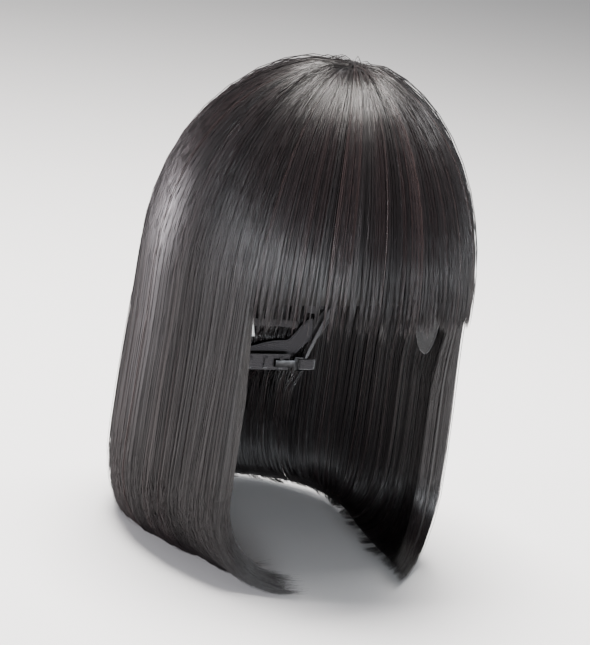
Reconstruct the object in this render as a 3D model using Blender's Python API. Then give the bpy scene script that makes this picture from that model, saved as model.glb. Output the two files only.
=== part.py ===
"""A chin-length bob wig with a full fringe, in its worn shape round an empty head space.

Metres, +Z up. The wearer faces -Y and the wearer's left is +X. The origin is the point inside
the crown where the top of the head meets the cap. Angles run round the head: 0 in front,
positive towards the wearer's left, 180 degrees at the nape. Lift is the distance outside the
head form, and hair falls in planes that fan out from the crown whorl.
"""

import math

import bmesh
import bpy
from mathutils import Matrix, Vector

MM = 0.001
DEG = math.pi / 180
GAP = 0.4 * MM

# The head form that the cap is sewn to, relaxed.
HEAD_HALF_WIDTH = 70 * MM
HEAD_HALF_DEPTH = 87 * MM
HEAD_CENTRE_Y = 2 * MM
CROWN_TO_EQUATOR = 95 * MM
DOME_POWER = 1.0
WHORL_Y = -12 * MM
NAPE_DROP = 70 * MM
NAPE_TUCK = 30 * MM
SIDE_TUCK = 6 * MM

# The cap.
BAND_HEIGHT = 12 * MM
FABRIC = 1.2 * MM
SKIN_REACH = 0.24
NET_REACH = 0.52
WEFT_LIFT = 2.2 * MM
WEFT_HEIGHT = 3.5 * MM
WEFT_THICKNESS = 1.1 * MM
WEFT_TOP_Z = -57 * MM
WEFT_PITCH = 12 * MM
BACK_WEFTS = 8
FRONT_WEFTS = 3
RIBBON_WIDTH = 10 * MM
TAB_ANGLE = 75 * DEG
TAB_HALF_ANGLE = 11 * DEG
TAB_TOP = -98 * MM
TAB_LENGTH = 34 * MM
STRAP_HEIGHT = 6 * MM

# The hair.
HAIR_INNER_LIFT = 4.2 * MM
HAIR_SIDE_LIFT = 10.5 * MM
HAIR_BACK_LIFT = 14.5 * MM
HAIR_TOP_LIFT = 21 * MM
WHORL_HOLE = 0.06
FRINGE_ANGLE = 58 * DEG
FRINGE_HINGE_Z = -60 * MM
FRINGE_END_Z = -95 * MM
FRINGE_TEMPLE_DROP = 7 * MM
EAR_ANGLE = 90 * DEG
PANEL_ANGLE = 140 * DEG
CURTAIN_Z = -100 * MM
CURL_Z = -200 * MM
CURL_DEPTH = 42 * MM
CURL_TURN = 112 * DEG
CURL_SWEEP = 34 * DEG
CURL_REACH_FRONT = 39 * MM
CURL_REACH_BACK = 20 * MM
CURTAIN_FLARE = 3 * MM
CURTAIN_THICKNESS = 13 * MM
END_THICKNESS = 7 * MM
NAPE_HAIR_TOP_Z = -118 * MM
NAPE_HAIR_END_Z = -206 * MM
SEAM_GAP = 1 * MM

# The lower edge of the cap: compass angle in degrees, and height in millimetres.
CAP_EDGE = ((0, -58), (30, -63), (60, -88), (68, -97), (84, -97), (96, -97), (115, -118),
            (135, -150), (150, -163), (180, -168))


def smooth(share):
    """0 to 1, level at both ends."""
    share = min(1.0, max(0.0, share))
    return share * share * (3 - 2 * share)


def mix(a, b, share):
    return a + (b - a) * share


def cap_edge_z(angle):
    """Height of the cap's lower edge at an angle."""
    degrees = abs(angle) / DEG
    for (a0, z0), (a1, z1) in zip(CAP_EDGE, CAP_EDGE[1:]):
        if degrees <= a1:
            return mix(z0, z1, smooth((degrees - a0) / (a1 - a0))) * MM
    return CAP_EDGE[-1][1] * MM


def head_plan(angle, spread, lift, tuck=0.0):
    """Plan position on the form; spread is 0 at the whorl and 1 at the equator."""
    behind = max(0.0, -math.cos(angle))
    half_width = HEAD_HALF_WIDTH + lift - SIDE_TUCK * tuck
    half_depth = HEAD_HALF_DEPTH + lift - NAPE_TUCK * tuck * behind
    x = half_width * math.sin(angle)
    y = HEAD_CENTRE_Y - half_depth * math.cos(angle)
    return x * spread, mix(WHORL_Y, y, spread)


def cap_point(angle, z, lift):
    """A point of the cap's form at a height, lift outside it."""
    below = -CROWN_TO_EQUATOR - z
    if below > 0:
        return Vector((*head_plan(angle, 1.0, lift, smooth(below / NAPE_DROP)), z))
    rise = min(1.0, (z + CROWN_TO_EQUATOR) / (CROWN_TO_EQUATOR + lift))
    spread = (1 - rise ** (2 / DOME_POWER)) ** (DOME_POWER / 2)
    return Vector((*head_plan(angle, spread, lift), z))


def dome_point(angle, level, lift, top_lift=None):
    """A point of the dome, level 0 at the whorl and 1 at the equator."""
    spread = math.sin(level * math.pi / 2) ** DOME_POWER
    rise = math.cos(level * math.pi / 2) ** DOME_POWER
    z = (CROWN_TO_EQUATOR + (lift if top_lift is None else top_lift)) * rise - CROWN_TO_EQUATOR
    return Vector((*head_plan(angle, spread, lift), z))


def hair_lift(angle, layer):
    """Lift of the hair: layer 0 is its outer face and 1 its inner face."""
    outer = mix(HAIR_SIDE_LIFT, HAIR_BACK_LIFT, max(0.0, -math.cos(angle)))
    return mix(outer, HAIR_INNER_LIFT, layer)


def crown_hair_point(angle, z, layer):
    """A point of the hair over the dome, at a height at or above the curtains' top."""
    lift = hair_lift(angle, layer)
    top = CROWN_TO_EQUATOR + mix(HAIR_TOP_LIFT, HAIR_INNER_LIFT, layer)
    rise = min(1.0, max(0.0, (z + CROWN_TO_EQUATOR) / top))
    spread = (1 - rise ** (2 / DOME_POWER)) ** (DOME_POWER / 2)
    return Vector((*head_plan(angle, spread, lift), z))


def crown_hair_top(layer):
    """Height of the hair's face at the edge of the small hole round the whorl."""
    top = CROWN_TO_EQUATOR + mix(HAIR_TOP_LIFT, HAIR_INNER_LIFT, layer)
    rise = (1 - WHORL_HOLE ** (2 / DOME_POWER)) ** (DOME_POWER / 2)
    return top * rise - CROWN_TO_EQUATOR


def inward(angle):
    """Plan direction through the curtain's thickness, on the wearer's left."""
    if angle <= EAR_ANGLE:
        across = Vector((math.sin(angle) / HEAD_HALF_WIDTH, -math.cos(angle) / HEAD_HALF_DEPTH))
        return -across.normalized()
    return curl_way(angle)


def curl_way(angle):
    """Plan direction in which the ends turn under, on the wearer's left."""
    if angle <= EAR_ANGLE:
        forward = CURL_SWEEP * smooth((EAR_ANGLE - angle) / (EAR_ANGLE - FRINGE_ANGLE))
    else:
        forward = 90 * DEG * smooth((angle - EAR_ANGLE) / (PANEL_ANGLE - EAR_ANGLE))
    return Vector((-math.cos(forward), -math.sin(forward)))


def curl_reach(angle):
    return mix(CURL_REACH_FRONT, CURL_REACH_BACK,
               smooth((angle - FRINGE_ANGLE) / (EAR_ANGLE + 20 * DEG - FRINGE_ANGLE)))


def curtain_point(angle, run, layer):
    """A point of the hanging hair. run goes from 0 at the top to 1 at the turned-under ends."""
    side = -1 if angle < 0 else 1
    angle = abs(angle)
    fall = CURTAIN_Z - GAP / 2 - CURL_Z
    length = fall + CURL_DEPTH * CURL_TURN
    along = run * length
    down = min(along, fall)
    turn = max(0.0, along - fall) / CURL_DEPTH
    top_thickness = hair_lift(angle, 0) - HAIR_INNER_LIFT
    belly = mix(top_thickness, CURTAIN_THICKNESS, smooth(2 * down / fall))
    thickness = mix(belly, END_THICKNESS, smooth(turn / CURL_TURN))
    start = Vector(head_plan(angle, 1.0, hair_lift(angle, 0)))
    start -= inward(angle) * CURTAIN_FLARE * smooth(down / fall)
    depth = thickness * layer
    start += inward(angle) * depth
    start += curl_way(angle) * (curl_reach(angle) - depth) * (1 - math.cos(turn))
    z = CURTAIN_Z - GAP / 2 - down - (CURL_DEPTH - depth) * math.sin(turn)
    return Vector((side * start.x, start.y, z))


def fringe_point(angle, run, layer):
    """A point of the fringe below its hinge line."""
    end = FRINGE_END_Z - FRINGE_TEMPLE_DROP * (angle / FRINGE_ANGLE) ** 2
    z = mix(FRINGE_HINGE_Z - GAP / 2, end, run)
    return crown_hair_point(angle, z, layer * mix(0.7, 0.5, run))


def nape_hair_point(angle, run, layer):
    """A point of the under layer that hangs from the nape wefts."""
    side = -1 if angle < 0 else 1
    angle = abs(angle)
    z = mix(NAPE_HAIR_TOP_Z, NAPE_HAIR_END_Z, run)
    outer = Vector(head_plan(angle, 1.0, hair_lift(angle, 0)))
    outer += inward(angle) * (CURTAIN_THICKNESS + 2 * MM)
    inner = cap_point(angle, max(z, -165 * MM), HAIR_INNER_LIFT).to_2d()
    plan = outer.lerp(inner, layer)
    return Vector((side * plan.x, plan.y, z))


def material(name, colour, roughness, metallic=0.0):
    """One Principled material for each finish."""
    found = bpy.data.materials.get(name)
    if found:
        return found
    made = bpy.data.materials.new(name)
    made.use_nodes = True
    shader = made.node_tree.nodes["Principled BSDF"]
    shader.inputs["Base Color"].default_value = (*colour, 1.0)
    shader.inputs["Roughness"].default_value = roughness
    shader.inputs["Metallic"].default_value = metallic
    return made


def hair_material():
    return material("hair", (0.012, 0.010, 0.011), 0.34)


def cap_material():
    return material("cap_fabric", (0.018, 0.016, 0.017), 0.85)


def net_material():
    return material("cap_net", (0.022, 0.020, 0.021), 0.8)


def skin_material():
    return material("silicone_skin", (0.62, 0.42, 0.32), 0.45)


def elastic_material():
    return material("elastic", (0.03, 0.028, 0.03), 0.75)


def metal_material():
    return material("hook_metal", (0.02, 0.02, 0.02), 0.3, 1.0)


def stay_material():
    return material("stay_plastic", (0.03, 0.03, 0.03), 0.5)


def label_material():
    return material("label_satin", (0.75, 0.74, 0.72), 0.5)


def add_object(name, mesh_data, finish):
    made = bpy.data.objects.new(name, mesh_data)
    made.data.materials.append(finish)
    bpy.context.scene.collection.objects.link(made)
    return made


def grid_faces(mesh, columns, rows, corner, wrap=False, flip=False):
    """Quads over a grid of vertices; corner(i, j) gives the vertex of a column and a row."""
    for i in range(columns if wrap else columns - 1):
        for j in range(rows - 1):
            k = (i + 1) % columns
            quad = [corner(i, j), corner(i, j + 1), corner(k, j + 1), corner(k, j)]
            mesh.faces.new(reversed(quad) if flip else quad)


def sheet(name, columns, rows, point, finish, thickness=FABRIC, wrap=False, pole=None):
    """A fabric sheet: point(i, j) places column i, row j, and Solidify gives it thickness."""
    mesh = bmesh.new()
    verts = [[mesh.verts.new(point(i, j)) for j in range(rows)] for i in range(columns)]
    grid_faces(mesh, columns, rows, lambda i, j: verts[i][j], wrap)
    if pole is not None:
        centre = mesh.verts.new(pole)
        for i in range(columns):
            mesh.faces.new((centre, verts[i][0], verts[(i + 1) % columns][0]))
    data = bpy.data.meshes.new(name)
    mesh.to_mesh(data)
    mesh.free()
    made = add_object(name, data, finish)
    solidify = made.modifiers.new("thickness", "SOLIDIFY")
    solidify.thickness = thickness
    solidify.offset = 1.0
    solidify.use_even_offset = True
    return made


def shell(name, columns, rows, point, finish):
    """A closed shell between an outer and an inner face: point(i, j, layer)."""
    mesh = bmesh.new()
    faces = [[[mesh.verts.new(point(i, j, layer)) for j in range(rows)] for i in range(columns)]
             for layer in (0.0, 1.0)]
    outer, inner = faces
    grid_faces(mesh, columns, rows, lambda i, j: outer[i][j])
    grid_faces(mesh, columns, rows, lambda i, j: inner[i][j], flip=True)
    for i in range(columns - 1):
        for j in (0, rows - 1):
            mesh.faces.new((outer[i][j], outer[i + 1][j], inner[i + 1][j], inner[i][j]))
    for j in range(rows - 1):
        for i in (0, columns - 1):
            mesh.faces.new((outer[i][j], outer[i][j + 1], inner[i][j + 1], inner[i][j]))
    bmesh.ops.recalc_face_normals(mesh, faces=mesh.faces[:])
    data = bpy.data.meshes.new(name)
    mesh.to_mesh(data)
    mesh.free()
    return add_object(name, data, finish)


def band(name, start, end, columns, finish, lift=0.0, top=BAND_HEIGHT, bottom=0.0, rows=2,
         thickness=FABRIC):
    """A strip of the cap above its lower edge, from one angle to another."""
    def point(i, j):
        angle = mix(start, end, i / (columns - 1))
        return cap_point(angle, cap_edge_z(angle) + mix(top, bottom, j / (rows - 1)), lift)
    return sheet(name, columns, rows, point, finish, thickness)


def crown():
    """The skin patch at the whorl and the stretch net round it."""
    def skin(i, j):
        return dome_point(2 * math.pi * i / 24, SKIN_REACH * (j + 1) / 4, 0.2 * MM)

    def net(i, j):
        return dome_point(2 * math.pi * i / 36, mix(SKIN_REACH + 0.008, NET_REACH, j / 5), 0.2 * MM)
    top = dome_point(0, 0, 0.2 * MM)
    sheet("crown_skin", 24, 4, skin, skin_material(), 0.9 * MM, wrap=True, pole=top)
    sheet("crown_net", 36, 6, net, net_material(), 0.8 * MM, wrap=True)


def perimeter():
    """The front band, the side bindings and the elastic nape band."""
    joint = 0.3 * DEG
    band("front_band", -60 * DEG, 60 * DEG, 12, cap_material())
    for side, word in ((1, "left"), (-1, "right")):
        ends = sorted((side * (60 * DEG + joint), side * (135 * DEG - joint)))
        band(f"side_binding_{word}", *ends, 16, cap_material())
    band("nape_band", 135 * DEG, 225 * DEG, 14, elastic_material())


def ribbons():
    """Ribbons from the net down to the bands, that the wefts are sewn across."""
    net_z = dome_point(0, NET_REACH, 0).z
    places = (("front_centre", 0), ("front_left", 38), ("front_right", -38), ("side_left", 92),
              ("side_right", -92), ("back_left", 136), ("back_right", -136), ("back_centre", 180))
    for word, degrees in places:
        middle = degrees * DEG
        turn = 4 * DEG
        low = max(cap_edge_z(middle - turn), cap_edge_z(middle + turn)) + BAND_HEIGHT + 2 * GAP
        rows = 4 if abs(degrees) < 60 else 8

        def point(i, j, middle=middle, low=low, rows=rows):
            z = mix(net_z - 2.5 * MM, low, j / (rows - 1))
            reach = cap_point(middle, z, 0).to_2d() - Vector((0, WHORL_Y))
            half = RIBBON_WIDTH / 2 / reach.length
            return cap_point(middle + mix(-half, half, i / 2), z, 0.1 * MM)
        sheet(f"ribbon_{word}", 3, rows, point, cap_material(), 0.9 * MM)


def wefts():
    """Rows of sewn weft track. The back rows run ear to ear, the front rows temple to temple."""
    for row in range(BACK_WEFTS):
        z = WEFT_TOP_Z - WEFT_PITCH * row
        reach = 65 * DEG
        while cap_edge_z(reach) + BAND_HEIGHT + GAP > z - WEFT_HEIGHT:
            reach += 1 * DEG
        columns = max(8, round((2 * math.pi - 2 * reach) / (10 * DEG)))

        def back(i, j, z=z, reach=reach, columns=columns):
            angle = mix(reach, 2 * math.pi - reach, i / (columns - 1))
            return cap_point(angle, z - j * WEFT_HEIGHT, WEFT_LIFT)
        sheet(f"weft_back_{row + 1}", columns, 2, back, cap_material(), WEFT_THICKNESS)
    for row in range(FRONT_WEFTS):
        share = (row + 0.5) / FRONT_WEFTS

        def front(i, j, share=share):
            angle = mix(-55 * DEG, 55 * DEG, i / 13)
            top = dome_point(0, NET_REACH, 0).z - 3 * MM
            low = cap_edge_z(angle) + BAND_HEIGHT
            z = mix(top, low, share) + WEFT_HEIGHT / 2 - j * WEFT_HEIGHT
            return cap_point(angle, z, WEFT_LIFT)
        sheet(f"weft_front_{row + 1}", 14, 2, front, cap_material(), WEFT_THICKNESS)


def ear_tabs():
    """Soft tabs in front of the ears, each with a springy stay sewn to its outside."""
    for side, word in ((1, "left"), (-1, "right")):
        def tab(i, j, side=side):
            share = j / 6
            half = TAB_HALF_ANGLE * max(0.16, (1 - share ** 2.4) ** 0.5)
            angle = TAB_ANGLE - 3 * DEG * share + mix(-half, half, i / 6)
            return cap_point(side * angle, TAB_TOP - GAP - TAB_LENGTH * share, 0.2 * MM)

        def stay(i, j, side=side):
            angle = TAB_ANGLE - 3 * DEG * j / 4 + mix(-1.6 * DEG, 1.6 * DEG, i)
            return cap_point(side * angle, TAB_TOP - 3 * MM - (TAB_LENGTH - 8 * MM) * j / 4, 1.7 * MM)
        flip = side < 0
        order = (lambda i, j, f=tab: f(6 - i, j)) if flip else tab
        sheet(f"ear_tab_{word}", 7, 7, order, cap_material())
        order = (lambda i, j, f=stay: f(1 - i, j)) if flip else stay
        sheet(f"ear_tab_stay_{word}", 2, 5, order, stay_material(), 0.6 * MM)


# The adjusters: each straight loop tape is a chord of the nape band, with the hook on it.
TAPE_OUTER = (31.5 * MM, 49 * MM)
TAPE_INNER = (4.5 * MM, 54.5 * MM)
TAPE_Z = -161 * MM
TAPE_HEIGHT = 9 * MM
TAPE_THICKNESS = 0.8 * MM
LOOPS = 3
LOOP_START = 4 * MM
LOOP_PITCH = 9.4 * MM
LOOP_WIDTH = 2.4 * MM
HOOK_WIDTH = 4 * MM
HOOK_METAL = 0.6 * MM
HOOK_BEND = 1.15 * MM
HOOK_BEND_X = 8.6 * MM
TONGUE_TIP_X = 3.8 * MM
TONGUE_Y = 1.1 * MM
PLATE_OUTER_X = -7 * MM
PLATE_INNER_X = -1.5 * MM


def tape_frame(side):
    """Matrix of one tape: X towards the centre back, Y into the head space."""
    outer = Vector((side * TAPE_OUTER[0], TAPE_OUTER[1], TAPE_Z))
    inner = Vector((side * TAPE_INNER[0], TAPE_INNER[1], TAPE_Z))
    along = (inner - outer).normalized()
    up = Vector((0, 0, side))
    turn = Matrix((along, up.cross(along), up)).transposed().to_4x4()
    return Matrix.Translation(outer) @ turn, (inner - outer).length


def box(name, low, high, finish, place):
    """A closed box between two corners in a local frame."""
    mesh = bmesh.new()
    bmesh.ops.create_cube(mesh, size=1.0)
    size = Vector(high) - Vector(low)
    middle = (Vector(high) + Vector(low)) / 2
    for vert in mesh.verts:
        vert.co = place @ (Matrix.Diagonal(size) @ vert.co + middle)
    data = bpy.data.meshes.new(name)
    mesh.to_mesh(data)
    mesh.free()
    return add_object(name, data, finish)


def loop_tapes():
    """A flat tape on each side of the nape with a row of arched loops for the hook."""
    for side, word in ((1, "left"), (-1, "right")):
        place, length = tape_frame(side)
        tape = box(f"loop_tape_{word}", (0, -TAPE_THICKNESS / 2, -TAPE_HEIGHT / 2),
                   (length, TAPE_THICKNESS / 2, TAPE_HEIGHT / 2), elastic_material(), place)
        for n in range(LOOPS):
            start = LOOP_START + LOOP_PITCH * n

            def arch(i, j, layer, start=start, place=place):
                turn = math.pi * i / 8
                high = mix(2.5, 1.9, layer) * MM
                wide = mix(3.6, 3.0, layer) * MM
                sink = 0.25 * MM
                return place @ Vector((start + LOOP_WIDTH * j, high * math.sin(turn) + sink,
                                       -wide * math.cos(turn)))
            loop = shell(f"loop_cutter_{word}_{n}", 9, 2, arch, elastic_material())
            loop.hide_render = True
            loop.display_type = "WIRE"
            add_boolean(tape, "UNION", loop)


def hook_outline():
    """Side view of a hook: a shank over the loop, a bend, and a tongue back through the loop."""
    half = HOOK_METAL / 2
    shank_y = TONGUE_Y + 2 * HOOK_BEND
    centre_y = TONGUE_Y + HOOK_BEND
    outer = [(HOOK_BEND_X + (HOOK_BEND + half) * math.cos(a * DEG),
              centre_y + (HOOK_BEND + half) * math.sin(a * DEG)) for a in range(90, -91, -30)]
    inner = [(HOOK_BEND_X + (HOOK_BEND - half) * math.cos(a * DEG),
              centre_y + (HOOK_BEND - half) * math.sin(a * DEG)) for a in range(-90, 91, 30)]
    start = PLATE_INNER_X - 1 * MM
    shank_start = (start, shank_y + half)
    shank_end = (start, shank_y - half)
    tongue = [(TONGUE_TIP_X, TONGUE_Y - half), (TONGUE_TIP_X, TONGUE_Y + half)]
    return [shank_start, *outer, *tongue, *inner, shank_end]


def cutter(name, low, high, place):
    """A box used only by a Boolean."""
    made = box(name, low, high, metal_material(), place)
    made.hide_render = True
    made.display_type = "WIRE"
    return made


def add_boolean(target, operation, tool):
    made = target.modifiers.new(tool.name, "BOOLEAN")
    made.operation = operation
    made.solver = "EXACT"
    made.object = tool


def hooks():
    """Coated wire hooks: a plate with a slot for the strap, a shank, a bend and a tongue."""
    for side, word in ((1, "left"), (-1, "right")):
        place, _ = tape_frame(side)
        mesh = bmesh.new()
        ring = [mesh.verts.new(place @ Vector((x, y, -HOOK_WIDTH / 2))) for x, y in hook_outline()]
        face = mesh.faces.new(ring)
        rise = place.to_3x3() @ Vector((0, 0, HOOK_WIDTH))
        raised = bmesh.ops.extrude_face_region(mesh, geom=[face])["geom"]
        verts = [item for item in raised if isinstance(item, bmesh.types.BMVert)]
        bmesh.ops.translate(mesh, verts=verts, vec=rise)
        bmesh.ops.recalc_face_normals(mesh, faces=mesh.faces[:])
        data = bpy.data.meshes.new(f"hook_{word}")
        mesh.to_mesh(data)
        mesh.free()
        hook = add_object(f"hook_{word}", data, metal_material())
        middle = TONGUE_Y + 2 * HOOK_BEND
        plate = cutter(f"hook_plate_{word}", (PLATE_OUTER_X, middle - 0.31 * MM, -4 * MM),
                       (PLATE_INNER_X, middle + 0.31 * MM, 4 * MM), place)
        slot = cutter(f"hook_slot_{word}", (PLATE_OUTER_X + 1.4 * MM, middle - 2 * MM, -3.1 * MM),
                      (PLATE_OUTER_X + 2.9 * MM, middle + 2 * MM, 3.1 * MM), place)
        add_boolean(hook, "UNION", plate)
        add_boolean(hook, "DIFFERENCE", slot)


def straps():
    """Elastic straps from the side bindings to the hooks, inside the nape band."""
    for side, word in ((1, "left"), (-1, "right")):
        place, _ = tape_frame(side)
        hook_end = place @ Vector((PLATE_OUTER_X - 3 * GAP, TONGUE_Y + 2 * HOOK_BEND, 0))
        anchor_angle = 120 * DEG

        def point(i, j, side=side, hook_end=hook_end):
            share = i / 7
            anchor = cap_point(side * anchor_angle, cap_edge_z(anchor_angle) + 6 * MM, -1.6 * MM)
            guide_angle = mix(anchor_angle, 138 * DEG, share)
            guide = cap_point(side * guide_angle, cap_edge_z(guide_angle) + 6 * MM, -1.9 * MM)
            middle = guide.lerp(hook_end, smooth(share)) if share else anchor
            return middle + Vector((0, 0, mix(0.5, -0.5, j) * STRAP_HEIGHT))
        order = point if side > 0 else (lambda i, j, f=point: f(7 - i, j))
        sheet(f"adjuster_strap_{word}", 8, 2, order, elastic_material(), 0.8 * MM)


def care_label():
    """A blank satin label inside the centre back."""
    def point(i, j):
        return cap_point(math.pi + mix(-13, 13, i / 3) * DEG, mix(-131, -149, j / 3) * MM, -1.3 * MM)
    sheet("care_label", 4, 4, point, label_material(), 0.5 * MM)


def seam(angle, spread, gap):
    """Angle that leaves half a gap beside a cut between two pieces of hair."""
    return gap / 2 / (HEAD_HALF_WIDTH * max(spread, 0.03))


def crown_hair():
    """The hair over the dome, fixed to the cap: front, left, right and back."""
    parts = (("front", -FRINGE_ANGLE, FRINGE_ANGLE, FRINGE_HINGE_Z),
             ("left", FRINGE_ANGLE, PANEL_ANGLE, CURTAIN_Z),
             ("right", -PANEL_ANGLE, -FRINGE_ANGLE, CURTAIN_Z),
             ("back", PANEL_ANGLE, 2 * math.pi - PANEL_ANGLE, CURTAIN_Z))
    rows = 9
    for word, start, end, low in parts:
        columns = 11

        def point(i, j, layer, start=start, end=end, low=low):
            share = (j / (rows - 1)) ** 0.75
            fall = 1 - math.cos(share * math.pi / 2) if low == CURTAIN_Z else share ** 1.6
            z = mix(crown_hair_top(layer), low + GAP / 2, fall)
            here = crown_hair_point(0.0, z, layer).y
            spread = abs(here - WHORL_Y) / HEAD_HALF_DEPTH
            half = seam(0.0, spread, SEAM_GAP)
            angle = mix(start + half, end - half, i / (columns - 1))
            return crown_hair_point(angle, z, layer)
        shell(f"crown_hair_{word}", columns, rows, point, hair_material())


def hanging_hair():
    """The curtains: side locks, the fixed back corners, the back panel and the nape layer."""
    half = seam(0.0, 1.0, SEAM_GAP)
    rows = 12
    parts = (("side_lock_left", FRINGE_ANGLE, EAR_ANGLE, 6),
             ("side_lock_right", -EAR_ANGLE, -FRINGE_ANGLE, 6),
             ("back_corner_left", EAR_ANGLE, PANEL_ANGLE, 8),
             ("back_corner_right", -PANEL_ANGLE, -EAR_ANGLE, 8),
             ("back_panel", PANEL_ANGLE, 2 * math.pi - PANEL_ANGLE, 11))
    for name, start, end, columns in parts:
        def point(i, j, layer, start=start, end=end, columns=columns):
            angle = mix(start + half, end - half, i / (columns - 1))
            if angle > math.pi:
                angle -= 2 * math.pi
            return curtain_point(angle, j / (rows - 1), layer)
        shell(name, columns, rows, point, hair_material())

    def under(i, j, layer):
        angle = mix(134 * DEG, 226 * DEG, i / 10)
        return nape_hair_point(angle - 2 * math.pi if angle > math.pi else angle, j / 5, layer)
    shell("nape_hair", 11, 6, under, hair_material())


def fringe():
    """The fringe, from its hinge line on the forehead to the brows."""
    half = seam(0.0, 1.0, SEAM_GAP)

    def point(i, j, layer):
        angle = mix(-FRINGE_ANGLE + half, FRINGE_ANGLE - half, i / 12)
        return fringe_point(angle, j / 5, layer)
    shell("fringe_hair", 13, 6, point, hair_material())


def main():
    for old in list(bpy.data.objects):
        bpy.data.objects.remove(old)
    crown()
    perimeter()
    ribbons()
    wefts()
    ear_tabs()
    loop_tapes()
    hooks()
    straps()
    care_label()
    crown_hair()
    hanging_hair()
    fringe()


main()
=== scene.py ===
"""Looks for a chin-length bob wig: strands, under hair and the sewn cap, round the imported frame."""

import logging
import math
from collections.abc import Sequence
from dataclasses import dataclass, field
from enum import Enum

import bmesh
import bpy
import numpy as np
from mathutils import Matrix, Vector


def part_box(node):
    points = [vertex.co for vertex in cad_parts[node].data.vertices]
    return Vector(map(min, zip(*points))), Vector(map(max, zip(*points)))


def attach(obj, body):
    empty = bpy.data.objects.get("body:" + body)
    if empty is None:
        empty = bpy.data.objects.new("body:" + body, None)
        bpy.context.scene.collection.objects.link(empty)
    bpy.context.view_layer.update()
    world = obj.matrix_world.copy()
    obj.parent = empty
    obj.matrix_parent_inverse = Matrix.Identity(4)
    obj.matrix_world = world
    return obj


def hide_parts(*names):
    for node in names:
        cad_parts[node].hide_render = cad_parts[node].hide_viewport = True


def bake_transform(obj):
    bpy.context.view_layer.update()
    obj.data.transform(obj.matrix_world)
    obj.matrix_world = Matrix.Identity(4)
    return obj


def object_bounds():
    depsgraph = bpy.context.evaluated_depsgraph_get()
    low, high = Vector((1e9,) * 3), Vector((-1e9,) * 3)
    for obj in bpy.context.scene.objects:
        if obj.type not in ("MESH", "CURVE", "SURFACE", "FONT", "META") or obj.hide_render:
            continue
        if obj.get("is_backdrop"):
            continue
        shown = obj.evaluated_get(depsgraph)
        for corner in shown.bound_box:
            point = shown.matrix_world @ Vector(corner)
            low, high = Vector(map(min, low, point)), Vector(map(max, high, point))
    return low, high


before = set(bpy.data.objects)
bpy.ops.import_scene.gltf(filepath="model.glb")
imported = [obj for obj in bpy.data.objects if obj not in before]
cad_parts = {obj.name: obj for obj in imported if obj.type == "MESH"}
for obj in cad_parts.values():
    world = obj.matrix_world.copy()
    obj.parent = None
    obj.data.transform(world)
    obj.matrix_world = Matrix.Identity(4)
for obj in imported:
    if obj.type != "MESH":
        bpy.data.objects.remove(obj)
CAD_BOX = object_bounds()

LOG = logging.getLogger("wig")
MM = 0.001
DEG = math.pi / 180
STRAND_TIP = 1.06
STRAND_SWELL = 12.0
Array = np.ndarray
Socket = bpy.types.NodeSocket
Piece = bpy.types.Object
Material = bpy.types.Material
Triple = tuple[float, float, float]


class Surface(Enum):
    """Which face of a shell of hair a bunch of strands dresses."""

    OUTER = "outer"
    INNER = "inner"


class Slot(Enum):
    """The material slots."""

    HAIR = "hair"
    SKIN = "silicone_skin"
    NET = "cap_net"
    FABRIC = "cap_fabric"
    ELASTIC = "elastic"
    STAY = "stay_plastic"
    METAL = "hook_metal"
    LABEL = "label_satin"


def mix(a: Array | float, b: Array | float, share: Array | float) -> Array | float:
    """Linear mix from a to b."""
    return a + (b - a) * share


def smooth(share: Array | float) -> Array:
    """0 to 1, level at both ends."""
    share = np.clip(share, 0.0, 1.0)
    return share * share * (3 - 2 * share)


# ---------------------------------------------------------------- forms


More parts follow.
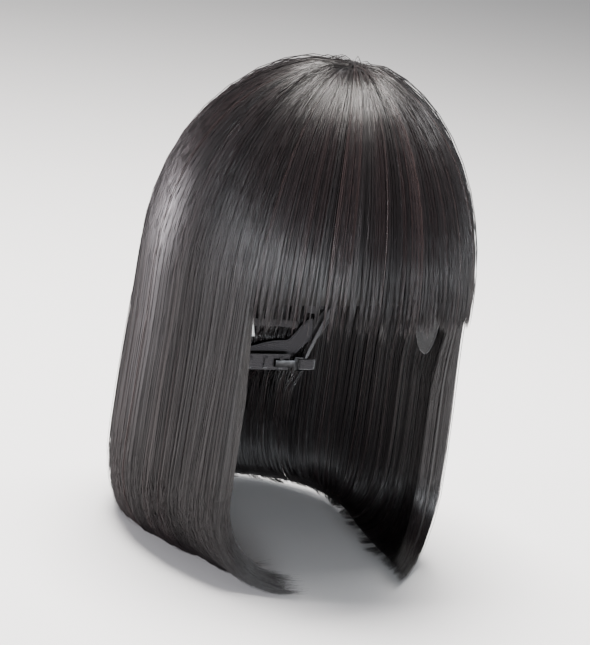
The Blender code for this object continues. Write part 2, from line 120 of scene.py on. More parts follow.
@dataclass(frozen=True)
class CapForm:
    """The head form that the cap is sewn to, in the frame's place.

    Angles run round the head in radians, 0 in front and positive towards the wearer's left.
    """

    half_width: float = 70 * MM
    half_depth: float = 87 * MM
    centre_y: float = 2 * MM
    whorl_y: float = -12 * MM
    equator_z: float = -95 * MM
    power: float = 1.0
    nape_drop: float = 70 * MM
    nape_tuck: float = 30 * MM
    side_tuck: float = 6 * MM
    edge_degrees: tuple[float, ...] = (0, 30, 60, 68, 84, 96, 115, 135, 150, 180)
    edge_z_mm: tuple[float, ...] = (-58, -63, -88, -97, -97, -97, -118, -150, -163, -168)

    def edge_z(self, angle: Array) -> Array:
        """Height of the cap's lower edge.

        Args:
            angle: Angles in radians.

        Returns:
            Heights in metres.
        """
        degrees = np.abs(np.asarray(angle, float)) / DEG
        knots = np.array(self.edge_degrees, float)
        heights = np.array(self.edge_z_mm, float)
        k = np.clip(np.searchsorted(knots, degrees) - 1, 0, len(knots) - 2)
        share = (degrees - knots[k]) / (knots[k + 1] - knots[k])
        return mix(heights[k], heights[k + 1], smooth(share)) * MM

    def plan(self, angle: Array, spread: Array, lift: Array,
             tuck: Array = 0.0) -> tuple[Array, Array]:
        """Plan position of points of the form.

        Args:
            angle: Angles round the head.
            spread: 0 at the whorl and 1 at the equator.
            lift: Distance outside the head form.
            tuck: How far the form has closed in under the equator, 0 to 1.

        Returns:
            The x and y coordinates.
        """
        behind = np.maximum(0.0, -np.cos(angle))
        x = (self.half_width + lift - self.side_tuck * tuck) * np.sin(angle)
        depth = self.half_depth + lift - self.nape_tuck * tuck * behind
        y = self.centre_y - depth * np.cos(angle)
        return x * spread, mix(self.whorl_y, y, spread)

    def point(self, angle: Array, z: Array, lift: Array) -> Array:
        """Points of the cap at given heights.

        Args:
            angle: Angles round the head.
            z: Heights.
            lift: Distance outside the head form.

        Returns:
            An (..., 3) array.
        """
        angle, z, lift = np.broadcast_arrays(np.asarray(angle, float), z, lift)
        tuck = smooth((self.equator_z - z) / self.nape_drop)
        rise = np.clip((z - self.equator_z) / (lift - self.equator_z), 0, 1)
        spread = (1 - rise ** (2 / self.power)) ** (self.power / 2)
        x, y = self.plan(angle, spread, lift, tuck)
        return np.stack([x, y, z], axis=-1)

    def dome(self, angle: Array, level: Array, lift: Array) -> Array:
        """Points of the dome.

        Args:
            angle: Angles round the head.
            level: 0 at the whorl and 1 at the equator.
            lift: Distance outside the head form.

        Returns:
            An (..., 3) array.
        """
        angle, level, lift = np.broadcast_arrays(np.asarray(angle, float), level, lift)
        spread = np.sin(level * math.pi / 2) ** self.power
        rise = np.cos(level * math.pi / 2) ** self.power
        x, y = self.plan(angle, spread, lift)
        return np.stack([x, y, (lift - self.equator_z) * rise + self.equator_z], axis=-1)

    def outward(self, line: Array) -> Array:
        """Level unit vectors from the head's middle out to the points of a line."""
        out = (line - np.array([0, self.centre_y, 0])) * np.array([1, 1, 0])
        return out / np.linalg.norm(out, axis=-1, keepdims=True)


@dataclass(frozen=True)
class HairForm:
    """The worn hair's outer and inner faces.

    A strand's run goes from 0 at the whorl to 1 at the equator of the dome, to 2 where the
    ends start to turn under, and to 3 at the very ends. Layer 0 is the outer face, 1 the inner.
    """

    cap: CapForm
    inner_lift: float = 4.2 * MM
    side_lift: float = 10.5 * MM
    back_lift: float = 14.5 * MM
    top_lift: float = 21 * MM
    flare: float = 3 * MM
    thickness: float = 13 * MM
    end_thickness: float = 7 * MM
    curl_z: float = -200 * MM
    curl_depth: float = 42 * MM
    curl_turn: float = 112 * DEG
    sweep: float = 34 * DEG
    reach_front: float = 39 * MM
    reach_back: float = 20 * MM
    reach_change: float = 52 * DEG
    fringe_angle: float = 58 * DEG
    ear_angle: float = 90 * DEG
    panel_angle: float = 140 * DEG

    def outer_lift(self, angle: Array) -> Array:
        """Lift of the outer face at the equator."""
        return mix(self.side_lift, self.back_lift, np.maximum(0.0, -np.cos(angle)))

    def curl_way(self, angle: Array) -> tuple[Array, Array]:
        """Plan direction in which the ends turn under.

        Args:
            angle: Angles of the wearer's left, 0 to half a turn.

        Returns:
            The direction's x and y.
        """
        front = (self.ear_angle - angle) / (self.ear_angle - self.fringe_angle)
        front = self.sweep * smooth(front)
        back = (angle - self.ear_angle) / (self.panel_angle - self.ear_angle)
        back = 90 * DEG * smooth(back)
        forward = np.where(angle <= self.ear_angle, front, back)
        return -np.cos(forward), -np.sin(forward)

    def point(self, angle: Array, run: Array, layer: Array) -> Array:
        """Points in the hair.

        Args:
            angle: Angles round the head, within half a turn of the front.
            run: Where on the way from the whorl to the ends.
            layer: Depth under the outer face.

        Returns:
            An (..., 3) array.
        """
        angle, run, layer = np.broadcast_arrays(np.asarray(angle, float), run, layer)
        side, turn_angle = np.where(angle < 0, -1.0, 1.0), np.abs(angle)
        level = np.clip(run, 0, 1)
        fall = np.clip(run - 1, 0, 1)
        turn = np.maximum(run - 2, 0) * self.curl_turn
        outer = self.outer_lift(turn_angle)
        top = mix(self.top_lift, self.inner_lift, layer)
        belly = mix(outer - self.inner_lift, self.thickness, smooth(2 * fall))
        depth = mix(belly, self.end_thickness, smooth(run - 2)) * layer
        lift = outer + self.flare * smooth(fall) - depth
        spread = np.sin(level * math.pi / 2) ** self.cap.power
        rise = np.cos(level * math.pi / 2) ** self.cap.power
        x, y = self.cap.plan(turn_angle, spread, lift)
        way_x, way_y = self.curl_way(turn_angle)
        reach = mix(self.reach_front, self.reach_back,
                    smooth((turn_angle - self.fringe_angle) / self.reach_change))
        swing = (reach - depth) * (1 - np.cos(turn))
        z = self.cap.equator_z + (top - self.cap.equator_z) * rise
        drop = (self.curl_depth - depth) * np.sin(turn)
        z = z - fall * (self.cap.equator_z - self.curl_z) - drop
        return np.stack([side * (x + way_x * swing), y + way_y * swing, z], axis=-1)


# ---------------------------------------------------------------- node trees


def add_node(tree: bpy.types.NodeTree, kind: str, links: dict[int | str, object] | None,
             settings: dict[str, object]) -> bpy.types.Node:
    """Adds a node to a tree.

    Args:
        tree: The tree.
        kind: The node's type.
        links: Input socket to the output socket or the value that feeds it.
        settings: The node's own properties.

    Returns:
        The node.
    """
    node = tree.nodes.new(kind)
    for key, value in settings.items():
        setattr(node, key, value)
    for key, value in (links or {}).items():
        if isinstance(value, Socket):
            tree.links.new(value, node.inputs[key])
        else:
            node.inputs[key].default_value = value
    return node


def link_object(name: str, data: bpy.types.ID) -> Piece:
    """A new object of some data, in the scene.

    Args:
        name: The object's name.
        data: Its mesh, lamp or camera.

    Returns:
        The object.
    """
    made = bpy.data.objects.new(name, data)
    bpy.context.scene.collection.objects.link(made)
    return made


def smooth_mesh(mesh: bpy.types.Mesh) -> None:
    """Shades every face smooth."""
    mesh.polygons.foreach_set("use_smooth", np.ones(len(mesh.polygons), bool))


@dataclass
class Tree:
    """A Geometry Nodes tree built in the script, with named inputs and one geometry in and out."""

    name: str
    kinds: dict[str, str]
    group: bpy.types.NodeTree = field(init=False)

    def __post_init__(self) -> None:
        """Makes the empty tree and its sockets."""
        self.group = bpy.data.node_groups.new(self.name, "GeometryNodeTree")
        face = self.group.interface
        face.new_socket("Geometry", in_out="OUTPUT", socket_type="NodeSocketGeometry")
        face.new_socket("Geometry", in_out="INPUT", socket_type="NodeSocketGeometry")
        for name, kind in self.kinds.items():
            face.new_socket(name, in_out="INPUT", socket_type=kind)
        self.inputs = self.group.nodes.new("NodeGroupInput")
        self.output = self.group.nodes.new("NodeGroupOutput")

    def add(self, kind: str, links: dict[int | str, object] | None = None,
            **settings: object) -> bpy.types.Node:
        """A new node with its inputs' links or values and its settings."""
        return add_node(self.group, kind, links, settings)

    def math(self, operation: str, *values: object) -> Socket:
        """A math node's result."""
        return self.add("ShaderNodeMath", dict(enumerate(values)), operation=operation).outputs[0]

    def keep(self, geometry: Socket, name: str, value: Socket) -> Socket:
        """The geometry with a float attribute stored on its points.

        Args:
            geometry: What the attribute is stored on.
            name: The attribute's name.
            value: What it holds.

        Returns:
            The geometry's socket.
        """
        links = {0: geometry, "Name": name, "Value": value}
        kept = self.add("GeometryNodeStoreNamedAttribute", links, data_type="FLOAT", domain="POINT")
        return kept.outputs[0]

    def end(self, geometry: Socket) -> None:
        """Ends the tree in Realize Instances and Set Material.

        Args:
            geometry: What the tree has made.
        """
        real = self.add("GeometryNodeRealizeInstances", {0: geometry})
        links = {0: real.outputs[0], "Material": self.inputs.outputs["Material"]}
        made = self.add("GeometryNodeSetMaterial", links)
        self.group.links.new(made.outputs[0], self.output.inputs[0])

    def apply(self, mesh: bpy.types.Mesh, name: str, values: dict[str, object]) -> Piece:
        """Runs the tree on a mesh and keeps the result as a plain mesh.

        Args:
            mesh: What the tree starts from.
            name: The new piece's name.
            values: Input name to value.

        Returns:
            The new object.
        """
        worker = link_object(f"{name}_worker", mesh)
        modifier = worker.modifiers.new(self.name, "NODES")
        modifier.node_group = self.group
        for item in self.group.interface.items_tree:
            if item.item_type == "SOCKET" and item.in_out == "INPUT" and item.name in values:
                modifier[item.identifier] = values[item.name]
        graph = bpy.context.evaluated_depsgraph_get()
        data = bpy.data.meshes.new_from_object(worker.evaluated_get(graph), depsgraph=graph)
        bpy.data.objects.remove(worker)
        bpy.data.meshes.remove(mesh)
        data.name = name
        smooth_mesh(data)
        return link_object(name, data)


def strand_tree() -> Tree:
    """Turns poly lines into closed, tapered, three-sided strands.

    Returns:
        The tree.
    """
    tree = Tree("strands", {"Width": "NodeSocketFloat", "Root Share": "NodeSocketFloat",
                            "Tip Power": "NodeSocketFloat", "Variation": "NodeSocketFloat",
                            "Seed": "NodeSocketInt", "Material": "NodeSocketMaterial"})
    given = tree.inputs.outputs
    curve = tree.add("GeometryNodeMeshToCurve", {0: given["Geometry"]})
    share = tree.add("GeometryNodeSplineParameter").outputs["Factor"]
    strand = tree.add("GeometryNodeInputNamedAttribute", {"Name": "strand"}, data_type="INT")
    chance = tree.add("FunctionNodeRandomValue", {"ID": strand.outputs[0], "Seed": given["Seed"]})
    off = tree.math("SUBTRACT", chance.outputs[1], 0.5)
    wide = tree.math("MULTIPLY_ADD", off, given["Variation"], 1.0)
    tip = tree.math("SUBTRACT", STRAND_TIP, tree.math("POWER", share, given["Tip Power"]))
    swell = tree.math("ADD", given["Root Share"], tree.math("MULTIPLY", share, STRAND_SWELL))
    taper = tree.math("MULTIPLY", tip, tree.math("MINIMUM", 1.0, swell))
    radius = tree.math("MULTIPLY", taper, tree.math("MULTIPLY", wide, given["Width"]))
    radius = tree.math("MULTIPLY", radius, 0.5)
    kept = tree.keep(curve.outputs[0], "share", share)
    circle = tree.add("GeometryNodeCurvePrimitiveCircle", {"Resolution": 3, "Radius": 1.0})
    around = tree.keep(circle.outputs[0], "around", share)
    tubes = tree.add("GeometryNodeCurveToMesh", {0: kept, 1: around, "Scale": radius,
                                                 "Fill Caps": True})
    tree.end(tubes.outputs[0])
    return tree


def stitch_tree() -> Tree:
    """Sews short rounded stitches at a pitch along poly lines.

    Returns:
        The tree.
    """
    tree = Tree("stitches", {"Pitch": "NodeSocketFloat", "Length": "NodeSocketFloat",
                             "Thread": "NodeSocketFloat", "Slant": "NodeSocketFloat",
                             "Material": "NodeSocketMaterial"})
    given = tree.inputs.outputs
    curve = tree.add("GeometryNodeMeshToCurve", {0: given["Geometry"]})
    spaced = tree.add("GeometryNodeResampleCurve",
                      {0: curve.outputs[0], "Length": given["Pitch"]}, mode="LENGTH")
    bead = tree.add("GeometryNodeMeshUVSphere", {"Segments": 5, "Rings": 4, "Radius": 0.5})
    size = tree.add("ShaderNodeCombineXYZ",
                    {0: given["Length"], 1: given["Thread"], 2: given["Thread"]})
    shaped = tree.add("GeometryNodeTransform", {0: bead.outputs["Mesh"], "Scale": size.outputs[0]})
    turned = tree.add("ShaderNodeCombineXYZ", {2: given["Slant"]})
    slanted = tree.add("GeometryNodeTransform",
                       {0: shaped.outputs[0], "Rotation": turned.outputs[0]})
    tangent = tree.add("GeometryNodeInputTangent")
    facing = tree.add("GeometryNodeInputNamedAttribute", {"Name": "facing"},
                      data_type="FLOAT_VECTOR")
    aim = tree.add("FunctionNodeAxesToRotation", {0: tangent.outputs[0], 1: facing.outputs[0]},
                   primary_axis="X", secondary_axis="Z")
    placed = tree.add("GeometryNodeInstanceOnPoints",
                      {0: spaced.outputs[0], "Instance": slanted.outputs[0],
                       "Rotation": aim.outputs[0]})
    tree.end(placed.outputs[0])
    return tree


def thread_tree() -> Tree:
    """Turns every edge line of a mesh into a thin round thread.

    Returns:
        The tree.
    """
    tree = Tree("threads", {"Thread": "NodeSocketFloat", "Sides": "NodeSocketInt",
                            "Material": "NodeSocketMaterial"})
    given = tree.inputs.outputs
    curve = tree.add("GeometryNodeMeshToCurve", {0: given["Geometry"]})
    radius = tree.math("MULTIPLY", given["Thread"], 0.5)
    circle = tree.add("GeometryNodeCurvePrimitiveCircle",
                      {"Resolution": given["Sides"], "Radius": radius})
    tubes = tree.add("GeometryNodeCurveToMesh",
                     {0: curve.outputs[0], 1: circle.outputs[0], "Fill Caps": True})
    tree.end(tubes.outputs[0])
    return tree


def lines_mesh(name: str, points: Array, values: dict[str, Array]) -> bpy.types.Mesh:
    """A mesh of poly lines.

    Args:
        name: The mesh's name.
        points: An (n, k, 3) array, k points on each of n lines.
        values: Attribute name to an (n, k) or (n, k, 3) array.

    Returns:
        The mesh, with no faces.
    """
    n, k = points.shape[:2]
    mesh = bpy.data.meshes.new(name)
    mesh.vertices.add(n * k)
    mesh.vertices.foreach_set("co", points.astype(np.float32).ravel())
    first = (np.arange(n)[:, None] * k + np.arange(k - 1)[None, :]).ravel()
    mesh.edges.add(len(first))
    ends = np.stack([first, first + 1], axis=1)
    mesh.edges.foreach_set("vertices", ends.astype(np.int32).ravel())
    for key, value in values.items():
        flat = "INT" if value.dtype.kind == "i" else "FLOAT"
        kind = "FLOAT_VECTOR" if value.ndim == 3 else flat
        made = mesh.attributes.new(key, kind, "POINT")
        made.data.foreach_set("vector" if value.ndim == 3 else "value", value.ravel())
    mesh.update()
    return mesh


# ---------------------------------------------------------------- finishes


@dataclass
class Shading:
    """A material's node tree with a Principled shader, and short ways to add nodes to it."""

    name: str

    def __post_init__(self) -> None:
        """Makes the material."""
        self.material = bpy.data.materials.new(self.name)
        self.material.use_nodes = True
        self.tree = self.material.node_tree
        self.shader = self.tree.nodes["Principled BSDF"]

    def add(self, kind: str, links: dict[int | str, object] | None = None,
            **settings: object) -> bpy.types.Node:
        """A new node with its inputs' links or values and its settings."""
        return add_node(self.tree, kind, links, settings)

    def attribute(self, name: str) -> Socket:
        """A float attribute of the piece."""
        return self.add("ShaderNodeAttribute", attribute_name=name).outputs["Fac"]

    def uv(self, name: str, scale: Triple) -> Socket:
        """A UV map of the piece, scaled."""
        found = self.add("ShaderNodeUVMap", uv_map=name)
        return self.add("ShaderNodeMapping", {0: found.outputs[0], "Scale": scale}).outputs[0]

    def noise(self, vector: Socket, scale: float, detail: float = 3.0) -> Socket:
        """A noise pattern from 0 to 1."""
        links = {"Vector": vector, "Scale": scale, "Detail": detail}
        return self.add("ShaderNodeTexNoise", links).outputs["Fac"]

    def place(self) -> Socket:
        """The piece's own object coordinates."""
        return self.add("ShaderNodeTexCoord").outputs["Object"]

    def ramp(self, factor: Socket, stops: Sequence[tuple[float, Triple]]) -> Socket:
        """A colour ramp.

        Args:
            factor: What the ramp reads.
            stops: Places and colours, in order.

        Returns:
            The colour socket.
        """
        node = self.add("ShaderNodeValToRGB", {0: factor})
        bar = node.color_ramp.elements
        for _ in stops[2:]:
            bar.new(0.5)
        for item, (place, colour) in zip(bar, stops):
            item.position = place
            item.color = (*colour, 1.0)
        return node.outputs[0]

    def math(self, operation: str, *values: object) -> Socket:
        """A math node's result."""
        return self.add("ShaderNodeMath", dict(enumerate(values)), operation=operation).outputs[0]

    def between(self, factor: Socket, low: float, high: float) -> Socket:
        """The factor's 0 to 1 stretched from low to high."""
        return self.add("ShaderNodeMapRange", {0: factor, "To Min": low, "To Max": high}).outputs[0]

    def bump(self, height: Socket, strength: float, distance: float) -> None:
        """Drives the shader's normal from a height.

        Args:
            height: The height's socket.
            strength: How much of the height shows.
            distance: The height's size in metres.
        """
        links = {"Height": height, "Strength": strength, "Distance": distance}
        node = self.add("ShaderNodeBump", links)
        self.tree.links.new(node.outputs[0], self.shader.inputs["Normal"])

    def give(self, socket: str, value: object) -> None:
        """Links or sets one of the shader's sockets."""
        if isinstance(value, Socket):
            self.tree.links.new(value, self.shader.inputs[socket])
        else:
            self.shader.inputs[socket].default_value = value


@dataclass(frozen=True)
class HairFinish:
    """Glossy black fibre with brown and plum tints from strand to strand, and painted shade that
    darkens each strand toward its root.
    """

    name: str = "wig_fibre"
    dark: Triple = (0.004, 0.003, 0.0034)
    middle: Triple = (0.011, 0.0075, 0.0082)
    light: Triple = (0.036, 0.0235, 0.023)
    roughness: tuple[float, float] = (0.24, 0.36)
    specular: float = 0.5

    def build(self) -> Material:
        """The finish as a material, which reads the tone and share attributes of the strands.

        Returns:
            The material.
        """
        shading = Shading(self.name)
        tone, share = shading.attribute("tone"), shading.attribute("share")
        colour = shading.ramp(tone, ((0.0, self.dark), (0.6, self.middle), (1.0, self.light)))
        # painted shade: each strand darkens toward its root, where other hair lies over it, and grows
        # a little lighter toward its tip
        root = shading.between(share, 0.75, 1.15)
        shade = shading.add("ShaderNodeMix", {0: 1.0, 6: colour}, data_type="RGBA",
                            blend_type="MULTIPLY")
        painted_root_shade = shading.add("ShaderNodeCombineColor", {0: root, 1: root, 2: root})
        shading.tree.links.new(painted_root_shade.outputs[0], shade.inputs[7])
        shading.give("Base Color", shade.outputs[2])
        shading.give("Roughness", shading.between(tone, self.roughness[1], self.roughness[0]))
        shading.give("Specular IOR Level", self.specular)
        return shading.material


@dataclass(frozen=True)
class UnderHairFinish:
    """Packed hair under the top strands: fine dark streaks along the flow, partly a random tone and
    partly painted shade in the bumped grooves.
    """

    name: str = "under_hair"
    dark: Triple = (0.003, 0.0026, 0.0028)
    light: Triple = (0.012, 0.009, 0.009)

    def build(self) -> Material:
        """The finish as a material, which reads the flow UV map.

        Returns:
            The material.
        """
        shading = Shading(self.name)
        flow = shading.uv("flow", (2600.0, 18.0, 1.0))
        streak = shading.noise(flow, 1.0, 4.0)
        # the streak noise sets the colour and the bump alike, so the dark streaks are painted shade
        # in the grooves between fibres as well as a random tone
        shading.give("Base Color", shading.ramp(streak, ((0.35, self.dark), (0.75, self.light))))
        shading.give("Roughness", shading.between(streak, 0.55, 0.4))
        shading.bump(streak, 0.7, 0.0006)
        return shading.material


@dataclass(frozen=True)
class ClothFinish:
    """Woven, knitted or piled cloth: a colour, a weave at its real pitch with painted shade in its
    dips, and a soft sheen.
    """

    name: str
    colour: Triple
    across: float = 0.5 * MM
    along: float = 0.5 * MM
    depth: float = 0.12 * MM
    ribs: bool = False
    sheen: float = 0.35
    roughness: float = 0.8

    def build(self) -> Material:
        """The finish as a material, which reads the weave UV map in metres.

        Returns:
            The material.
        """
        shading = Shading(self.name)
        where = shading.uv("weave", (1.0, 1.0, 1.0))
        split = shading.add("ShaderNodeSeparateXYZ", {0: where})
        pace = shading.math("MULTIPLY", split.outputs[0], 2 * math.pi / self.along)
        warp = shading.math("SINE", pace)
        pace = shading.math("MULTIPLY", split.outputs[1], 2 * math.pi / self.across)
        weft = shading.math("SINE", pace)
        if self.ribs:
            rib = shading.math("MULTIPLY", weft, 0.8)
            height = shading.math("ADD", rib, shading.math("MULTIPLY", warp, 0.25))
        else:
            height = shading.math("MULTIPLY", warp, weft)
        height = shading.math("MULTIPLY_ADD", height, 0.5, 0.5)
        fuzz = shading.noise(shading.uv("weave", (1800.0, 1800.0, 1.0)), 1.0, 2.0)
        stain = shading.noise(shading.uv("weave", (90.0, 90.0, 1.0)), 1.0, 2.0)
        # painted shade: the colour follows the weave's height, darker in its dips and lighter on the
        # thread crowns; the fuzz and stain noise add a random tone
        level = shading.math("ADD", height, shading.math("MULTIPLY", fuzz, 0.5))
        level = shading.math("ADD", level, shading.math("MULTIPLY", stain, 0.4))
        low = tuple(c * 0.5 for c in self.colour)
        high = tuple(min(1.0, c * 1.45) for c in self.colour)
        stops = ((0.0, low), (0.45, self.colour), (1.0, high))
        shading.give("Base Color", shading.ramp(level, stops))
        rough = shading.between(fuzz, self.roughness - 0.12, self.roughness + 0.1)
        shading.give("Roughness", rough)
        shading.give("Sheen Weight", self.sheen)
        shading.give("Sheen Roughness", 0.4)
        shading.bump(level, 0.8, self.depth)
        return shading.material


@dataclass(frozen=True)
class SkinFinish:
    """Thin matt silicone with fine pores and a warm blush."""

    name: str = "silicone_scalp"
    pale: Triple = (0.66, 0.46, 0.35)
    blush: Triple = (0.52, 0.31, 0.23)

    def build(self) -> Material:
        """The finish as a material.

        Returns:
            The material.
        """
        shading = Shading(self.name)
        place = shading.place()
        patch = shading.noise(place, 45.0, 3.0)
        cells = shading.add("ShaderNodeTexVoronoi", {"Vector": place, "Scale": 900.0})
        pores = cells.outputs["Distance"]
        shading.give("Base Color", shading.ramp(patch, ((0.3, self.blush), (0.7, self.pale))))
        shading.give("Roughness", shading.between(patch, 0.42, 0.55))
        shading.give("Subsurface Weight", 0.15)
        shading.give("Subsurface Scale", 0.002)
        shading.bump(pores, 0.35, 0.0002)
        return shading.material


@dataclass(frozen=True)
class SolidFinish:
    """Moulded plastic or coated metal with a faint grain and worn gloss."""

    name: str
    colour: Triple
    roughness: float
    metallic: float = 0.0

    def build(self) -> Material:
        """The finish as a material.

        Returns:
            The material.
        """
        shading = Shading(self.name)
        grain = shading.noise(shading.place(), 2600.0, 2.0)
        wear = shading.noise(shading.place(), 420.0, 4.0)
        bright = tuple(min(1.0, c * 1.9 + 0.01) for c in self.colour)
        shading.give("Base Color", shading.ramp(wear, ((0.45, self.colour), (0.85, bright))))
        rough = shading.between(wear, self.roughness - 0.08, self.roughness + 0.15)
        shading.give("Roughness", rough)
        shading.give("Metallic", self.metallic)
        shading.bump(grain, 0.15, 0.00005)
        return shading.material


# ---------------------------------------------------------------- meshes


def grid_normals(points: Array) -> Array:
    """Unit normals of an (n, m, 3) grid of points.

    Args:
        points: The grid.

    Returns:
        An (n, m, 3) array.
    """
    along = np.gradient(points, axis=0)
    across = np.gradient(points, axis=1)
    normal = np.cross(across, along)
    return normal / np.maximum(np.linalg.norm(normal, axis=-1, keepdims=True), 1e-12)


def travelled(line: Array) -> Array:
    """Length along a line of points, from its start to each of them."""
    return np.concatenate([[0], np.cumsum(np.linalg.norm(np.diff(line, axis=0), axis=-1))])


def grid_mesh(name: str, faces_in: Array, faces_out: Array, uv: Array, uv_name: str) -> Piece:
    """A closed slab between an inner and an outer grid.

    Args:
        name: The piece's name.
        faces_in: Inner (n, m, 3) points.
        faces_out: Outer points.
        uv: An (n, m, 2) map for both faces.
        uv_name: The map's name.

    Returns:
        The new object.
    """
    n, m = faces_in.shape[:2]
    index = np.arange(n * m).reshape(n, m)
    a, b, c, d = index[:-1, :-1], index[1:, :-1], index[1:, 1:], index[:-1, 1:]
    outer = np.stack([a, d, c, b], -1).reshape(-1, 4) + n * m
    inner = np.stack([a, b, c, d], -1).reshape(-1, 4)
    rims = []
    for line in (index[:, 0], index[::-1, -1], index[-1, :], index[0, ::-1]):
        rims.append(np.stack([line[:-1], line[:-1] + n * m, line[1:] + n * m, line[1:]], -1))
    quads = np.concatenate([outer, inner, *rims])
    mesh = bpy.data.meshes.new(name)
    points = np.concatenate([faces_in.reshape(-1, 3), faces_out.reshape(-1, 3)])
    mesh.from_pydata(points.tolist(), [], quads.tolist())
    layer = mesh.uv_layers.new(name=uv_name)
    both = np.concatenate([uv.reshape(-1, 2)] * 2)
    layer.data.foreach_set("uv", both[quads.ravel()].astype(np.float32).ravel())
    smooth_mesh(mesh)
    mesh.update()
    return link_object(name, mesh)


def cloth_strip(name: str, points: Array, thickness: float, rim: float = 0.0) -> Piece:
    """A woven strip with soft edges, thickened outwards from a grid of points.

    Args:
        name: The piece's name.
        points: An (n, m, 3) grid; the first axis runs along the strip, the second across it.
        thickness: The strip's thickness.
        rim: How much thicker its two selvedges are.

    Returns:
        The new object, with a weave UV map in metres.
    """
    normal = grid_normals(points)
    m = points.shape[1]
    across = np.linspace(0, 1, m)
    edge = np.minimum(across, 1 - across) * (m - 1)
    profile = thickness * np.where(edge < 0.5, 0.35, 1.0) + rim * np.exp(-((edge - 1.5) ** 2))
    out = points + normal * profile[None, :, None]
    length, width = travelled(points[:, m // 2]), travelled(points[0])
    uv = np.stack(np.broadcast_arrays(length[:, None], width[None, :]), -1)
    return grid_mesh(name, points, out, uv, "weave")


@dataclass
class Workshop:
    """What every sub-assembly is made with: the forms, the trees and the finishes."""

    cap: CapForm = field(default_factory=CapForm)
    seed: int = 653

    def __post_init__(self) -> None:
        """Builds the trees and materials once."""
        self.hair = HairForm(self.cap)
        self.strands, self.stitches, self.threads = strand_tree(), stitch_tree(), thread_tree()
        self.fibre = HairFinish().build()
        self.under = UnderHairFinish().build()
        self.velvet = ClothFinish("velvet_band", (0.02, 0.018, 0.019), depth=0.08 * MM,
                                  sheen=0.6).build()
        self.ribbon = ClothFinish("woven_ribbon", (0.024, 0.021, 0.022), along=0.9 * MM,
                                  across=0.45 * MM).build()
        self.elastic = ClothFinish("ribbed_elastic", (0.03, 0.027, 0.029), along=0.8 * MM,
                                   across=1.1 * MM, depth=0.3 * MM, ribs=True).build()
        self.net = ClothFinish("net_thread", (0.03, 0.027, 0.028), roughness=0.7).build()
        self.thread = SolidFinish("sewing_thread", (0.035, 0.031, 0.032), 0.55).build()
        self.satin = ClothFinish("label_satin", (0.72, 0.7, 0.67), along=0.35 * MM,
                                 across=0.25 * MM, depth=0.04 * MM, sheen=0.2,
                                 roughness=0.42).build()
        self.skin = SkinFinish().build()
        self.metal = SolidFinish("coated_metal", (0.025, 0.025, 0.026), 0.3, 1.0).build()

    def rng(self, offset: int) -> np.random.Generator:
        """A random source of its own for each bunch."""
        return np.random.default_rng(self.seed + offset)

    def sew(self, name: str, lines: Array, facing: Array, body: str, pitch: float = 2.6 * MM,
            length: float = 1.8 * MM, thread: float = 0.32 * MM, slant: float = 0.0,
            slot: Slot = Slot.FABRIC) -> Piece:
        """Stitches along lines.

        Args:
            name: The piece's name.
            lines: An (n, k, 3) array of poly lines.
            facing: The cloth's outward direction at each point.
            body: The body that it rides on.
            pitch: From stitch to stitch.
            length: One stitch.
            thread: Its thickness.
            slant: Its turn in the cloth, in radians.
            slot: The material slot.

        Returns:
            The piece.
        """
        mesh = lines_mesh(name, lines, {"facing": facing.astype(np.float32)})
        made = self.stitches.apply(mesh, name, {"Pitch": pitch, "Length": length, "Thread": thread,
                                                "Slant": slant, "Material": self.thread})
        return self.hand_over(made, body, slot)

    def hand_over(self, piece: Piece, body: str, slot: Slot,
                  replaces: Sequence[str] = ()) -> Piece:
        """Rides a finished piece on its body and hides the solids that it stands for.

        Args:
            piece: The piece.
            body: The body that it rides on.
            slot: Not used.
            replaces: The solids that it stands for.

        Returns:
            The piece.
        """
        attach(piece, body)
        if replaces:
            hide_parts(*replaces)
        LOG.info("%s: %d faces on %s", piece.name, len(piece.data.polygons), body)
        return piece


# ---------------------------------------------------------------- hair


@dataclass(frozen=True)
class Bunch:
    """One section of the hair and how densely it is dressed."""

    name: str
    start: float
    end: float
    body: str
    hinge_z: float
    nodes: tuple[str, ...]
    outer: int
    inner: int
    fringe: bool = False
    free_edge: float = 0.0


@dataclass(frozen=True)
class Cut:
    """How evenly ends are cut: spreads in runs, and the share of strands that fell short."""

    lock_spread: float
    lock_middle: float
    strand_spread: float
    short_share: float
    shortest: float

    def trim(self, run: Array, dice: Array, rng: np.random.Generator) -> Array:
        """Ends round a run.

        Args:
            run: Where each strand would end in an even cut.
            dice: Each strand's share of its lock's chance, 0 to 1.
            rng: Random source.

        Returns:
            Each strand's end.
        """
        count = len(dice)
        end = run + self.lock_spread * (dice - self.lock_middle)
        end = end + rng.normal(0, self.strand_spread, count)
        return end - self.shortest * (rng.random(count) < self.short_share) * rng.random(count)


@dataclass(frozen=True)
class Locks:
    """The irregular locks that strands gather in, the same ones on both faces of the hair."""

    angle: float = 1.7 * DEG
    depth: float = 0.5 * MM
    count: int = 420
    least: float = 0.4
    most: float = 1.9
    seed: int = 97

    def find(self, angle: Array) -> tuple[Array, Array]:
        """Finds each strand's lock.

        Args:
            angle: Root angles, in order.

        Returns:
            How far each strand is from its lock's middle, in lock angles, and a (3, n) array of
            its lock's own chances.
        """
        shared = np.random.default_rng(self.seed)
        widths = shared.uniform(self.least, self.most, self.count) * self.angle
        edges = np.cumsum(widths) - math.pi
        lock = np.clip(np.searchsorted(edges, angle), 1, len(edges) - 1)
        dice = shared.random((3, len(edges)))[:, lock]
        return (angle - (edges[lock] + edges[lock - 1]) / 2) / self.angle, dice


